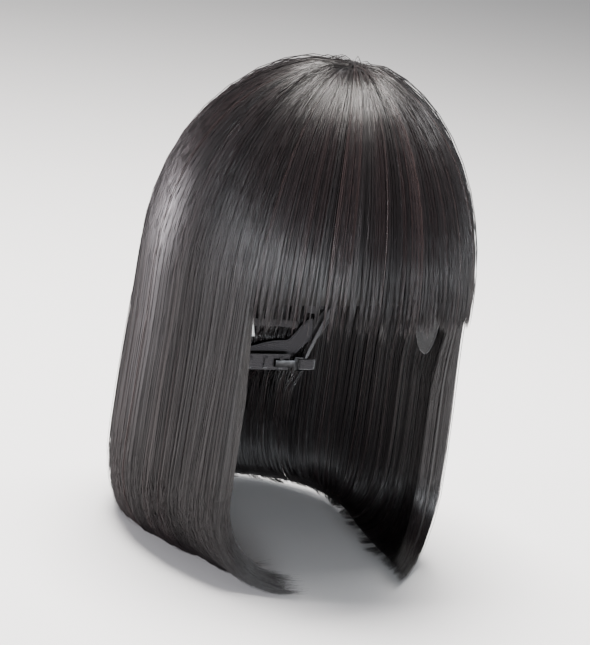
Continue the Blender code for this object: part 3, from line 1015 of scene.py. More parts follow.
@dataclass(frozen=True)
class Depths:
    """How deep the strands lie, in layers: 0 is the outer face of the hair and 1 the inner."""

    outer_top: float = 0.03
    outer_range: float = 0.22
    outer_root: float = 0.06
    inner_bottom: float = 0.97
    inner_range: float = 0.2
    edge_range: float = 4.2
    skew: float = 1.4
    loose_share: float = 0.012
    loose_lift: float = 0.16
    tucked: float = 0.1
    hidden: float = 0.36
    early_rise: float = 0.1
    late_rise: float = 0.3
    late_fringe: float = 0.7
    late_curtain: float = 0.95
    mound: float = 1.6
    dome_mound: float = 0.35
    lock_tilt: float = 0.05
    curl_tilt: float = 0.28
    curl_middle: float = 0.1
    wave: float = 0.018
    wave_seed: int = 5


@dataclass
class Lay:
    """One face's strands while they are laid: a value for each strand, and each one's runs."""

    outer: bool
    angle: Array
    off: Array
    dice: Array
    edge: Array
    high: Array
    root: Array
    end: Array
    run: Array


@dataclass(frozen=True)
class UnderShell:
    """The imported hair's shell: its grid, its grooves, and how its faces close at its edges."""

    column: float = 0.55 * DEG
    least_columns: int = 40
    rows: int = 32
    gap: float = 0.3 * DEG
    start: float = 0.02
    end: float = 2.82
    fringe_short: float = 0.075
    groove: float = 0.03
    groove_pitch: float = 0.9 * DEG
    wave: float = 0.02
    end_round: float = 0.1
    side_round: float = 4 * DEG
    closed: tuple[float, float] = (0.46, 0.54)
    top_near: float = 0.16
    near: float = 0.3
    far: float = 0.82
    map_scale: tuple[float, float] = (0.09, 0.11)


@dataclass(frozen=True)
class NapeLayer:
    """The short layer on the nape wefts."""

    count: int = 1100
    start: float = 135 * DEG
    end: float = 225 * DEG
    rows_z: tuple[float, ...] = (-0.126, -0.138, -0.148, -0.158)
    root_lift: float = 4 * MM
    root_run: float = 4 * MM
    rise: float = 4 * MM
    uneven: float = 2.5 * MM
    clearance: float = 3 * MM
    depth: float = 15 * MM
    settle: float = 0.55
    stray: float = 0.5 * MM


@dataclass
class HairDress:
    """All the hair: under hair that fills each section, and the strands on both of its faces."""

    shop: Workshop
    locks: Locks = field(default_factory=Locks)
    depths: Depths = field(default_factory=Depths)
    shell: UnderShell = field(default_factory=UnderShell)
    nape_layer: NapeLayer = field(default_factory=NapeLayer)
    bob_cut: Cut = field(default_factory=lambda: Cut(0.16, 0.5, 0.035, 0.12, 0.35))
    fringe_cut: Cut = field(default_factory=lambda: Cut(0.07, 0.45, 0.014, 0.14, 0.12))
    bob_end: float = 2.88
    width: float = 0.42 * MM
    wander: float = 0.5 * DEG
    wander_seed: int = 11
    wander_start: float = 1.4
    stray: float = 0.0035
    edge_share: float = 0.16
    edge_width: float = 0.9 * DEG
    high_share: float = 0.55
    gather_fringe: tuple[float, float] = (0.26, 0.8)
    gather_curtain: tuple[float, float] = (0.9, 0.4)
    fringe_bow: float = 7 * MM
    bend_zone: float = 14 * MM
    per_piece: int = 2100
    map_rows: int = 8

    def bunches(self) -> list[Bunch]:
        """The sections, from the fringe round to the back.

        Returns:
            The sections in the order in which they are made.
        """
        form = self.shop.hair
        f, e, p = form.fringe_angle, form.ear_angle, form.panel_angle
        fringe_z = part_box("fringe_hair")[1].z
        curtain_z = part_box("back_panel")[1].z
        return [
            Bunch("fringe", -f, f, "fringe", fringe_z, ("fringe_hair", "crown_hair_front"),
                  4900, 300, fringe=True),
            Bunch("side_left", f, e, "side_lock_left", curtain_z, ("side_lock_left",),
                  1650, 380, free_edge=f),
            Bunch("side_right", -e, -f, "side_lock_right", curtain_z, ("side_lock_right",),
                  1650, 380, free_edge=-f),
            Bunch("corner_left", e, p, "cap", curtain_z, ("back_corner_left", "crown_hair_left"),
                  2150, 420),
            Bunch("corner_right", -p, -e, "cap", curtain_z,
                  ("back_corner_right", "crown_hair_right"), 2150, 420),
            Bunch("back", p, 2 * math.pi - p, "back_panel", curtain_z,
                  ("back_panel", "crown_hair_back"), 3300, 500),
        ]

    @staticmethod
    def folded(angle: Array) -> Array:
        """Angles brought within half a turn of the front."""
        return (angle + math.pi) % (2 * math.pi) - math.pi

    def fringe_end(self, angle: Array) -> Array:
        """Run at which the fringe is cut, a little lower towards the temples.

        Args:
            angle: Angles round the head.

        Returns:
            Runs.
        """
        form = self.shop.hair
        bow = self.fringe_bow * (1 - (np.abs(angle) / form.fringe_angle) ** 2)
        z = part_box("fringe_hair")[0].z + bow
        return 1 + (form.cap.equator_z - z) / (form.cap.equator_z - form.curl_z)

    def flow(self, rng: np.random.Generator, angle: Array, run: Array, scale: float) -> Array:
        """A smooth drift shared by neighbouring strands.

        Args:
            rng: Source of the waves' phases.
            angle: (n, 1) root angles.
            run: (n, k) runs.
            scale: The drift's size.

        Returns:
            An (n, k) array.
        """
        total = np.zeros(np.broadcast(angle, run).shape)
        for pace, rate in ((5, 1.1), (13, 1.9), (31, 2.6), (67, 3.1)):
            phase = rng.uniform(0, 2 * math.pi)
            total += np.sin(pace * angle + rate * run + phase) / math.sqrt(pace / 5)
        return total * scale

    @staticmethod
    def steps(curtain: bool) -> Array:
        """Shares of a strand at which its points lie, closer on the dome and in the curl.

        Args:
            curtain: Whether the strand is a long outer one.

        Returns:
            Shares from 0 to 1.
        """
        if not curtain:
            return np.linspace(0, 1, 12)
        dome, fall, curl = np.linspace(0, 1, 10), np.linspace(1, 2, 4), np.linspace(2, 3, 6)
        return np.concatenate([dome[:-1], fall[:-1], curl]) / 3

    def lay(self, bunch: Bunch, face: Surface, count: int, rng: np.random.Generator) -> Lay:
        """Roots and cuts one face's strands.

        Args:
            bunch: The section.
            face: Which face they dress.
            count: How many strands.
            rng: Random source.

        Returns:
            The strands.
        """
        outer = face is Surface.OUTER
        angle = np.sort(rng.uniform(bunch.start, bunch.end, count))
        off, dice = self.locks.find(angle)
        edge = rng.random(count) < (self.edge_share if bunch.free_edge else 0.0)
        inset = math.copysign(self.edge_width, bunch.free_edge) * rng.random(count)
        angle = np.where(edge, bunch.free_edge + inset, angle)
        high = rng.random(count) < self.high_share
        near = 0.012 + 0.09 * rng.random(count) ** 1.6
        far = 0.05 + 0.6 * rng.random(count) ** 1.3
        root = np.where(high, near, far)
        if not outer:
            root = rng.uniform(0.86, 1.0, count)
        end = self.bob_cut.trim(np.full(count, self.bob_end), dice[0], rng)
        if bunch.fringe:
            end = self.fringe_cut.trim(self.fringe_end(angle), dice[0], rng)
        steps = self.steps(outer and not bunch.fringe)
        run = root[:, None] + (end - root)[:, None] * steps[None, :]
        return Lay(outer, angle, off, dice, edge, high, root, end, run)

    def layers(self, lay: Lay, fringe: bool, rng: np.random.Generator) -> Array:
        """How deep the strands lie along their runs.

        Args:
            lay: The strands.
            fringe: Whether they are the fringe's.
            rng: Random source.

        Returns:
            An (n, k) array.
        """
        d, run, high = self.depths, lay.run, lay.high
        count = len(lay.angle)
        waves = self.flow(np.random.default_rng(d.wave_seed), lay.angle[:, None], run, d.wave)
        depth = np.where(lay.edge, d.edge_range * rng.random(count), rng.random(count) ** d.skew)
        if not lay.outer:
            flat = d.inner_bottom - d.inner_range * depth
            return np.broadcast_to(flat[:, None], run.shape) + waves
        layer = d.outer_top + d.outer_range * depth + d.outer_root * lay.root
        layer = np.where(rng.random(count) < d.loose_share, layer - d.loose_lift, layer)
        late = d.late_fringe if fringe else d.late_curtain
        early_rise = smooth((run - lay.root[:, None]) / d.early_rise)
        rise = np.where(high[:, None], early_rise, smooth((run - late) / d.late_rise))
        deep = np.where(high, layer + d.tucked, d.hidden)[:, None]
        layer = mix(deep, layer[:, None], rise)
        mound = self.locks.depth / self.shop.hair.thickness * (np.abs(lay.off) * d.mound) ** 2
        mound = mound + d.lock_tilt * (lay.dice[1] - 0.5)
        layer = layer + mound[:, None] * mix(d.dome_mound, 1.0, smooth(run))
        layer = layer + waves
        return layer + d.curl_tilt * (lay.dice[1] - d.curl_middle)[:, None] * smooth(run - 2)

    def paths(self, bunch: Bunch, face: Surface, count: int,
              rng: np.random.Generator) -> tuple[Array, Array]:
        """Poly lines of one face's strands.

        Args:
            bunch: The section.
            face: Which face they dress.
            count: How many strands.
            rng: Random source.

        Returns:
            The (n, k, 3) points and each strand's tone.
        """
        lay = self.lay(bunch, face, count, rng)
        layer = self.layers(lay, bunch.fringe, rng)
        zone, gather = self.gather_fringe if bunch.fringe else self.gather_curtain
        tip = smooth((lay.run - lay.end[:, None] + zone) / zone)
        angle = lay.angle[:, None]
        drift = self.flow(np.random.default_rng(self.wander_seed), angle, lay.run, self.wander)
        drift = drift * smooth(lay.run * self.wander_start)
        pinch = -lay.off * self.locks.angle * gather
        stray = rng.normal(0, self.stray, count)[:, None] * smooth(lay.run / 2) * tip
        turned = angle + drift + pinch[:, None] * tip + stray
        points = self.shop.hair.point(self.folded(turned), lay.run, layer)
        tone = np.clip(0.5 * lay.dice[2] + 0.5 * rng.random(count), 0, 1) ** 1.5
        return points, tone

    def spin(self, name: str, points: Array, tone: Array, width: float) -> Piece:
        """Spins poly lines into strands and lays out the map that keeps each strand's own colour.

        Args:
            name: The piece's name.
            points: An (n, k, 3) array.
            tone: Each strand's tone, 0 to 1.
            width: A strand's width.

        Returns:
            The new object.
        """
        n, k = points.shape[:2]
        strand = np.repeat(np.arange(n, dtype=np.int32)[:, None], k, 1)
        tones = np.repeat(tone[:, None], k, 1).astype(np.float32)
        mesh = lines_mesh(name, points, {"strand": strand, "tone": tones})
        made = self.shop.strands.apply(
            mesh, name, {"Width": width, "Root Share": 0.3, "Tip Power": 5.0, "Variation": 0.5,
                         "Seed": 7, "Material": self.shop.fibre})
        data = made.data
        vertex = np.empty(len(data.loops), np.int32)
        data.loops.foreach_get("vertex_index", vertex)
        read = {}
        for key, kind in (("strand", np.int32), ("share", np.float32), ("around", np.float32)):
            read[key] = np.empty(len(data.vertices), kind)
            data.attributes[key].data.foreach_get("value", read[key])
        columns = math.ceil(n / self.map_rows)
        u = (read["strand"] % columns + 0.15 + read["around"]) / columns
        v = (read["strand"] // columns + 0.05 + 0.9 * read["share"]) / self.map_rows
        layer = data.uv_layers.new(name="OFBake")
        layer.data.foreach_set("uv", np.stack([u, v], 1)[vertex].astype(np.float32).ravel())
        return made

    def finish_piece(self, piece: Piece, bunch: Bunch,
                     replaces: Sequence[str] = ()) -> None:
        """Rides a piece on the cap when its section hangs from it, or else bakes the piece's place
        into its mesh, and hides the solids that it stands for.

        Args:
            piece: The piece.
            bunch: Its section.
            replaces: The solids that it stands for.
        """
        if bunch.body == "cap":
            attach(piece, "cap")
        else:
            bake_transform(piece)
        if replaces:
            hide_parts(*replaces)
        LOG.info("%s: %d faces on %s", piece.name, len(piece.data.polygons), bunch.body)

    def under_hair(self, bunch: Bunch) -> None:
        """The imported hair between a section's two faces, as a closed grooved shell.

        Args:
            bunch: The section.
        """
        form, shell = self.shop.hair, self.shell
        columns = max(shell.least_columns, int((bunch.end - bunch.start) / shell.column))
        angle = np.linspace(bunch.start + shell.gap, bunch.end - shell.gap, columns)[:, None]
        end = np.full_like(angle, shell.end)
        if bunch.fringe:
            end = self.fringe_end(angle) - shell.fringe_short
        share = np.linspace(0, 1, shell.rows)[None, :]
        run = mix(shell.start, end, share)
        groove = shell.groove * np.sin(2 * math.pi * angle / shell.groove_pitch)
        groove = groove + self.flow(self.shop.rng(3), angle, run, shell.wave)
        edge = np.minimum(angle - bunch.start, bunch.end - angle) / shell.side_round
        open_side = smooth((run - 0.9) / 0.3) * bool(bunch.free_edge)
        closing = smooth((1 - share) / shell.end_round) * mix(1.0, smooth(edge), open_side)
        near = mix(shell.top_near, shell.near, smooth(run / 0.35))
        near = mix(shell.closed[0], near, closing) + groove
        far = mix(shell.closed[1], shell.far, closing) + groove * 0.5
        where = self.folded(angle + 0 * share)
        inner, outer = form.point(where, run, far), form.point(where, run, near)
        across, along = shell.map_scale
        uv = np.stack(np.broadcast_arrays(angle * across, run * along), -1)
        piece = grid_mesh(f"under_hair_{bunch.name}", inner, outer, uv, "flow")
        piece.data.materials.append(self.shop.under)
        self.finish_piece(piece, bunch, bunch.nodes)

    def strands(self, bunch: Bunch, number: int) -> None:
        """Both faces' strands of a section, in pieces small enough to keep whole.

        Args:
            bunch: The section.
            number: Its place in the order, which its random source follows from.
        """
        most = self.per_piece * (1.5 if bunch.fringe else 1.0)
        for face, count in ((Surface.OUTER, bunch.outer), (Surface.INNER, bunch.inner)):
            rng = self.shop.rng(number * 2 + (face is Surface.INNER))
            points, tone = self.paths(bunch, face, count, rng)
            parts = math.ceil(count / most)
            for part in range(parts):
                name = f"strands_{bunch.name}_{face.value}_{part + 1}"
                piece = self.spin(name, points[part::parts], tone[part::parts], self.width)
                self.finish_piece(piece, bunch)

    def nape(self) -> None:
        """The short layer that hangs from the nape wefts, in front of the back panel."""
        form, cap, short = self.shop.hair, self.shop.cap, self.nape_layer
        rng = self.shop.rng(40)
        count = short.count
        angle = np.sort(rng.uniform(short.start, short.end, count))
        row = rng.choice(np.array(short.rows_z), count)
        depth = rng.random(count)
        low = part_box("nape_hair")[0].z + rng.normal(0, short.uneven, count) + short.rise
        steps = np.linspace(0, 1, 12)[None, :]
        z = mix(row[:, None], low[:, None], steps)
        root_z = np.maximum(z, row[:, None] - short.root_run)
        root = cap.point(angle[:, None], root_z, short.root_lift)
        lift = form.outer_lift(angle) - form.thickness - short.clearance - short.depth * depth
        x, y = cap.plan(angle[:, None], 1.0, lift[:, None])
        hung = np.stack(np.broadcast_arrays(x, y, z), -1)
        points = mix(root, hung, smooth(steps / short.settle)[..., None])
        points[..., 2] = z
        points[..., :2] += rng.normal(0, short.stray, (count, 1, 2)) * steps[..., None]
        tone = rng.random(count) ** 1.5
        piece = self.spin("strands_nape", points, tone, self.width)
        self.shop.hand_over(piece, "cap", Slot.HAIR, ("nape_hair",))

    def build(self) -> None:
        """Makes every section."""
        for number, bunch in enumerate(self.bunches()):
            self.under_hair(bunch)
            self.strands(bunch, number)
        self.nape()


# ---------------------------------------------------------------- cap


@dataclass
class CapDress:
    """The sewn cap: bands, ribbons, weft tracks, the net and the silicone crown."""

    shop: Workshop
    band_height: float = 12 * MM
    band_thickness: float = 1.2 * MM
    weft_height: float = 3.5 * MM
    weft_top_z: float = -57 * MM
    weft_pitch: float = 12 * MM
    weft_lift: float = 2.2 * MM
    skin_reach: float = 0.24
    net_reach: float = 0.52
    net_cells: tuple[int, int] = (132, 20)
    nape_start: float = 135 * DEG
    front_end: float = 60 * DEG
    band_joint: float = 0.3 * DEG
    stitch_inset: float = 1.6 * MM
    ribbon_width: float = 10 * MM
    ribbon_thickness: float = 0.75 * MM
    stitch_points: int = 260

    def strip(self, name: str, angle: Array, top: Array, bottom: Array, lift: float,
              thickness: float, material: Material, slot: Slot, node: str,
              rows: int = 8, rim: float = 0.12 * MM) -> None:
        """A strip that runs round the cap.

        Args:
            name: The piece's name.
            angle: Angles along the strip.
            top: Its upper edge's heights.
            bottom: Its lower edge's heights.
            lift: Its inner face's distance outside the head form.
            thickness: Its thickness.
            material: Its finish.
            slot: The material slot.
            node: The solid that it stands for.
            rows: Rows of points across.
            rim: Extra thickness of the selvedges.
        """
        across = np.linspace(0, 1, rows)[None, :]
        z = mix(np.asarray(top)[:, None], np.asarray(bottom)[:, None], across)
        points = self.shop.cap.point(angle[:, None], z, lift)
        piece = cloth_strip(name, points, thickness, rim)
        piece.data.materials.append(material)
        self.shop.hand_over(piece, "cap", slot, (node,))

    def bands(self) -> None:
        """The velvet-faced front band and side bindings and the elastic nape band."""
        cap, shop = self.shop.cap, self.shop
        front, nape, joint = self.front_end, self.nape_start, self.band_joint
        parts = (("front_band", -front, front, shop.velvet, Slot.FABRIC),
                 ("side_binding_left", front + joint, nape - joint, shop.velvet, Slot.FABRIC),
                 ("side_binding_right", -nape + joint, -front - joint, shop.velvet, Slot.FABRIC),
                 ("nape_band", nape, 225 * DEG, shop.elastic, Slot.ELASTIC))
        thickness = self.band_thickness - 0.15 * MM
        for node, start, end, material, slot in parts:
            angle = np.linspace(start, end, int((end - start) / (1.2 * DEG)))
            edge = cap.edge_z(HairDress.folded(angle))
            self.strip(f"{node}_cloth", angle, edge + self.band_height, edge, 0.0, thickness,
                       material, slot, node)
            lines, facing = [], []
            for inset in (self.stitch_inset, self.band_height - self.stitch_inset):
                for lift, way in ((-0.05 * MM, -1), (self.band_thickness, 1)):
                    line = cap.point(angle, edge + inset, lift)
                    lines.append(line)
                    facing.append(way * cap.outward(line))
            shop.sew(f"{node}_stitches", np.array(lines), np.array(facing), "cap", slot=slot)

    def ribbons(self) -> None:
        """Ribbons from the net down to the bands."""
        cap = self.shop.cap
        net_z = cap.dome(0.0, self.net_reach, 0.0)[2] - 2.5 * MM
        places = {"front_centre": 0, "front_left": 38, "front_right": -38, "side_left": 92,
                  "side_right": -92, "back_left": 136, "back_right": -136, "back_centre": 180}
        for word, degrees in places.items():
            middle = degrees * DEG
            low = float(max(cap.edge_z(middle - 4 * DEG), cap.edge_z(middle + 4 * DEG)))
            z = np.linspace(net_z, low + self.band_height + 0.8 * MM, 26)[:, None]
            across = np.linspace(0.5, -0.5, 8)[None, :]
            centre = cap.point(middle, z[:, 0], 0.0)
            reach = np.linalg.norm(centre[:, :2] - np.array([0, cap.whorl_y]), axis=-1)
            turn = across * self.ribbon_width / reach[:, None]
            points = cap.point(middle + turn, z, 0.1 * MM)
            piece = cloth_strip(f"ribbon_{word}_cloth", points, self.ribbon_thickness, 0.1 * MM)
            piece.data.materials.append(self.shop.ribbon)
            self.shop.hand_over(piece, "cap", Slot.FABRIC, (f"ribbon_{word}",))

    def wefts(self) -> None:
        """Weft tracks: a folded strip of bound roots with a zigzag of thread along it."""
        cap = self.shop.cap
        rows: list[tuple[str, Array, Array]] = []
        for row in range(8):
            z = self.weft_top_z - self.weft_pitch * row
            reach = 65 * DEG
            foot = self.band_height + 0.4 * MM
            while cap.edge_z(np.array(reach)) + foot > z - self.weft_height:
                reach += 1 * DEG
            count = int((2 * math.pi - 2 * reach) / (1.5 * DEG))
            angle = np.linspace(reach, 2 * math.pi - reach, count)
            rows.append((f"weft_back_{row + 1}", angle, np.full(len(angle), z)))
        for row in range(3):
            angle = np.linspace(-55 * DEG, 55 * DEG, 70)
            top = cap.dome(0.0, self.net_reach, 0.0)[2] - 3 * MM
            z = mix(top, cap.edge_z(angle) + self.band_height, (row + 0.5) / 3)
            rows.append((f"weft_front_{row + 1}", angle, z + self.weft_height / 2))
        lines, facing = [], []
        count = self.stitch_points
        for node, angle, z in rows:
            self.strip(f"{node}_track", angle, z, z - self.weft_height, self.weft_lift, 0.9 * MM,
                       self.shop.ribbon, Slot.FABRIC, node, rows=7, rim=0.18 * MM)
            sample = np.interp(np.linspace(0, 1, count), np.linspace(0, 1, len(angle)), angle)
            height = np.interp(sample, angle, z) - self.weft_height / 2
            zigzag = 0.9 * MM * np.sign(np.sin(np.arange(count) * math.pi / 2 + 0.3))
            line = cap.point(sample, height + zigzag, self.weft_lift - 0.08 * MM)
            lines.append(line)
            facing.append(-cap.outward(line))
        self.shop.sew("weft_stitches", np.array(lines), np.array(facing), "cap",
                      pitch=2.0 * MM, length=2.0 * MM)

    def crown(self) -> None:
        """The silicone crown and the stretch net round it."""
        cap, shop = self.shop.cap, self.shop
        angle = np.linspace(0, 2 * math.pi, 97)[:, None]
        level = np.linspace(0.004, self.skin_reach, 14)[None, :] - 0 * angle
        inner, outer = cap.dome(angle, level, 0.2 * MM), cap.dome(angle, level, 1.1 * MM)
        skin = self.closed_dome("crown_skin_silicone", inner, outer)
        skin.data.materials.append(shop.skin)
        shop.hand_over(skin, "cap", Slot.SKIN, ("crown_skin",))
        round_cells, down_cells = self.net_cells
        lines = []
        for way in (1, -1):
            for start in range(round_cells):
                steps = np.arange(down_cells + 1)
                turn = (start + way * steps * 0.5) * 2 * math.pi / round_cells
                reach = mix(self.skin_reach + 0.01, self.net_reach, steps / down_cells)
                lines.append(cap.dome(turn, reach, (0.45 + 0.14 * way) * MM))
        mesh = lines_mesh("crown_net_threads", np.array(lines), {})
        net = shop.threads.apply(mesh, "crown_net_threads",
                                 {"Thread": 0.3 * MM, "Sides": 3, "Material": shop.net})
        shop.hand_over(net, "cap", Slot.NET, ("crown_net",))
        ring = np.linspace(0, 2 * math.pi, 240)
        rims = (self.skin_reach, self.net_reach)
        lines = np.array([cap.dome(ring, reach, 0.3 * MM)
                          for reach in (self.skin_reach + 0.004, self.net_reach)])
        facing = np.array([cap.dome(ring, reach, 2 * MM) for reach in rims]) - lines
        shop.sew("crown_net_stitches", lines, -facing, "cap", slot=Slot.NET,
                 pitch=2.2 * MM, length=2.4 * MM, slant=0.5)

    @staticmethod
    def closed_dome(name: str, inner: Array, outer: Array) -> Piece:
        """A closed cap of two domes that share a rim.

        Args:
            name: The piece's name.
            inner: An (n, m, 3) grid whose first column lies round the pole.
            outer: The same for the outer face.

        Returns:
            The new object.
        """
        inner, outer = inner[:-1], outer[:-1]
        n, m = inner.shape[:2]
        points = [*inner.reshape(-1, 3).tolist(), *outer.reshape(-1, 3).tolist()]
        pole_in, pole_out = len(points), len(points) + 1
        points += [inner[:, 0].mean(0).tolist(), outer[:, 0].mean(0).tolist()]
        faces: list[tuple[int, ...]] = []
        size = n * m
        for i in range(n):
            a, b = i * m, (i + 1) % n * m
            for j in range(m - 1):
                faces.append((a + j, b + j, b + j + 1, a + j + 1))
                faces.append((size + a + j, size + a + j + 1, size + b + j + 1, size + b + j))
            faces.append((a + m - 1, b + m - 1, size + b + m - 1, size + a + m - 1))
            faces.append((pole_in, b, a))
            faces.append((pole_out, size + a, size + b))
        mesh = bpy.data.meshes.new(name)
        mesh.from_pydata(points, [], faces)
        smooth_mesh(mesh)
        return link_object(name, mesh)

    def label(self) -> None:
        """A blank satin label with its ends sewn down."""
        cap = self.shop.cap
        angle = np.linspace(math.pi - 13 * DEG, math.pi + 13 * DEG, 30)
        sag = 0.7 * MM * np.sin(np.linspace(0, math.pi, 12)) ** 2
        z = np.linspace(-131 * MM, -149 * MM, 12)
        points = cap.point(angle[:, None], z[None, :], -1.3 * MM - sag[None, :])
        piece = cloth_strip("care_label_satin", points, 0.35 * MM)
        piece.data.materials.append(self.shop.satin)
        self.shop.hand_over(piece, "cap", Slot.LABEL, ("care_label",))

    def build(self) -> None:
        """Makes the whole cap."""
        self.bands()
        self.ribbons()
        self.wefts()
        self.crown()
        self.label()


@dataclass
class FittingDress:
    """The ear tabs with their stays, and the straps, hooks and loop tapes of the nape."""

    shop: Workshop
    tab_angle: float = 75 * DEG
    tab_half_angle: float = 11 * DEG
    tab_top: float = -98.4 * MM
    tab_length: float = 34 * MM
    strap_height: float = 6 * MM
    strap_thickness: float = 0.45 * MM
    strap_inset: float = 1.7 * MM
    strap_start: float = 120 * DEG
    strap_last: float = 138 * DEG
    strap_points: int = 40
    hook_y: float = 3.4 * MM
    strap_turn_mm: tuple[tuple[float, float], ...] = (
        (-7.3, 2.75), (-6.2, 2.6), (-5.3, 2.7), (-4.85, 3.3), (-5.2, 4.15), (-6.3, 4.35),
        (-8.2, 4.3), (-11.5, 3.9), (-14.0, 3.3))

    def ear_tab(self, side: int, word: str) -> None:
        """One velvet ear tab, its edge stitching and the strip that keeps it bent.

        Args:
            side: 1 for the wearer's left, -1 for the right.
            word: The side's word in the names.
        """
        cap, shop = self.shop.cap, self.shop
        share = np.linspace(0, 1, 22)[:, None] ** 0.9
        across = np.linspace(-1, 1, 17)[None, :] * side
        half = self.tab_half_angle * np.maximum(0.16, (1 - share ** 2.4) ** 0.5)
        angle = self.tab_angle * side - 3 * DEG * share * side + half * across
        z = self.tab_top - self.tab_length * share
        points = cap.point(angle, z, 0.2 * MM)
        points = points[:, ::-side] if side < 0 else points[:, ::-1]
        piece = cloth_strip(f"ear_tab_{word}_velvet", points, 1.0 * MM, 0.1 * MM)
        piece.data.materials.append(shop.velvet)
        body = f"ear_tab_{word}"
        shop.hand_over(piece, body, Slot.FABRIC, (f"ear_tab_{word}",))
        share = np.linspace(0, 0.95, 30)
        half = (self.tab_half_angle - 1.6 * DEG) * np.maximum(0.12, (1 - share ** 2.4) ** 0.5)
        lines, facing = [], []
        for way in (-1, 1):
            for lift, out_way in ((0.15 * MM, -1), (1.25 * MM, 1)):
                turn = (self.tab_angle - 3 * DEG * share + way * half) * side
                line = cap.point(turn, self.tab_top - self.tab_length * share - 1 * MM, lift)
                lines.append(line)
                facing.append(out_way * cap.outward(line))
        shop.sew(f"ear_tab_{word}_stitches", np.array(lines), np.array(facing), body)
        share = np.linspace(0, 1, 20)[:, None]
        angle = (self.tab_angle - 3 * DEG * share) * side + np.linspace(1.6, -1.6, 6)[None, :] * DEG
        z = self.tab_top - 2.6 * MM - (self.tab_length - 8 * MM) * share
        strip = cloth_strip(f"ear_tab_{word}_stay_strip", cap.point(angle, z, 1.6 * MM), 0.6 * MM)
        strip.data.materials.append(shop.ribbon)
        shop.hand_over(strip, body, Slot.STAY, (f"ear_tab_stay_{word}",))

    def tape_place(self, side: int) -> Matrix:
        """Where a loop tape lies: X towards the centre back and Y into the head space.

        Args:
            side: 1 for the wearer's left, -1 for the right.

        Returns:
            The tape's place.
        """
        outer = Vector((side * 31.5 * MM, 49 * MM, -161 * MM))
        inner = Vector((side * 4.5 * MM, 54.5 * MM, -161 * MM))
        along, up = (inner - outer).normalized(), Vector((0, 0, side))
        turn = Matrix((along, up.cross(along), up)).transposed().to_4x4()
        return Matrix.Translation(outer) @ turn

    def rounded(self, node: str, bevel: float, material: Material, body: str, slot: Slot) -> None:
        """A copy of a small hard piece with its edges rounded.

        Args:
            node: The solid that it is made from and stands for.
            bevel: The rounding's width.
            material: Its finish.
            body: The body that it rides on.
            slot: The material slot.
        """
        work = bmesh.new()
        work.from_mesh(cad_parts[node].data)
        bmesh.ops.remove_doubles(work, verts=work.verts[:], dist=0.005 * MM)
        bmesh.ops.dissolve_limit(work, angle_limit=2 * DEG, verts=work.verts[:],
                                 edges=work.edges[:])
        mesh = bpy.data.meshes.new(f"{node}_rounded")
        work.to_mesh(mesh)
        work.free()
        made = link_object(f"{node}_rounded", mesh)
        edge = made.modifiers.new("edge", "BEVEL")
        edge.width, edge.segments, edge.limit_method = bevel, 2, "ANGLE"
        graph = bpy.context.evaluated_depsgraph_get()
        made.data = bpy.data.meshes.new_from_object(made.evaluated_get(graph), depsgraph=graph)
        made.modifiers.clear()
        made.data.shade_smooth()
        made.data.set_sharp_from_angle(angle=40 * DEG)
        layer = made.data.uv_layers.new(name="weave")
        back = self.tape_place(1 if "left" in node else -1).inverted()
        for loop in made.data.loops:
            local = back @ made.data.vertices[loop.vertex_index].co
            layer.data[loop.index].uv = (local.x, local.z)
        made.data.materials.clear()
        made.data.materials.append(material)
        self.shop.hand_over(made, body, slot, (node,))

    def strap(self, side: int, word: str) -> None:
        """An elastic strap from the side binding, through the hook's slot and sewn back on itself.

        Args:
            side: 1 for the wearer's left, -1 for the right.
            word: The side's word in the names.
        """
        cap, shop = self.shop.cap, self.shop
        place = self.tape_place(side)
        share = np.linspace(0, 1, self.strap_points)
        guide_angle = mix(self.strap_start, self.strap_last, share)
        guide_z = cap.edge_z(guide_angle) + 6 * MM
        guide = cap.point(side * guide_angle, guide_z, -self.strap_inset)
        hook_end = np.array(place @ Vector((-8.0 * MM, self.hook_y - 0.5 * MM, 0)))
        path = mix(guide, hook_end[None, :], smooth(share)[:, None])
        turn = np.array([place @ Vector((x * MM, y * MM, 0)) for x, y in self.strap_turn_mm])
        path = np.concatenate([path, turn])
        free = np.arange(len(path)) < self.strap_points - 4
        height = np.where(free, self.strap_height, self.strap_height * 0.96)
        across = np.linspace(0.5, -0.5, 7)
        points = np.repeat(path[:, None, :], 7, 1)
        points[..., 2] += across[None, :] * height[:, None]
        points = points if side > 0 else points[:, ::-1]
        piece = cloth_strip(f"adjuster_strap_{word}_elastic", points, self.strap_thickness)
        piece.data.materials.append(shop.elastic)
        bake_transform(piece)
        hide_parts(f"adjuster_strap_{word}")
        LOG.info("%s: %d faces", piece.name, len(piece.data.polygons))

    def build(self) -> None:
        """Makes both sides' fittings."""
        for side, word in ((1, "left"), (-1, "right")):
            self.ear_tab(side, word)
            self.strap(side, word)
            self.rounded(f"hook_{word}", 0.16 * MM, self.shop.metal, f"hook_{word}", Slot.METAL)
            self.rounded(f"loop_tape_{word}", 0.12 * MM, self.shop.elastic, "cap", Slot.ELASTIC)


# ---------------------------------------------------------------- studio


@dataclass(frozen=True)
class Lamp:
    """A soft studio lamp."""

    name: str
    azimuth: float
    elevation: float
    distance: float
    size: tuple[float, float]
    power: float
    colour: Triple = (1.0, 1.0, 1.0)


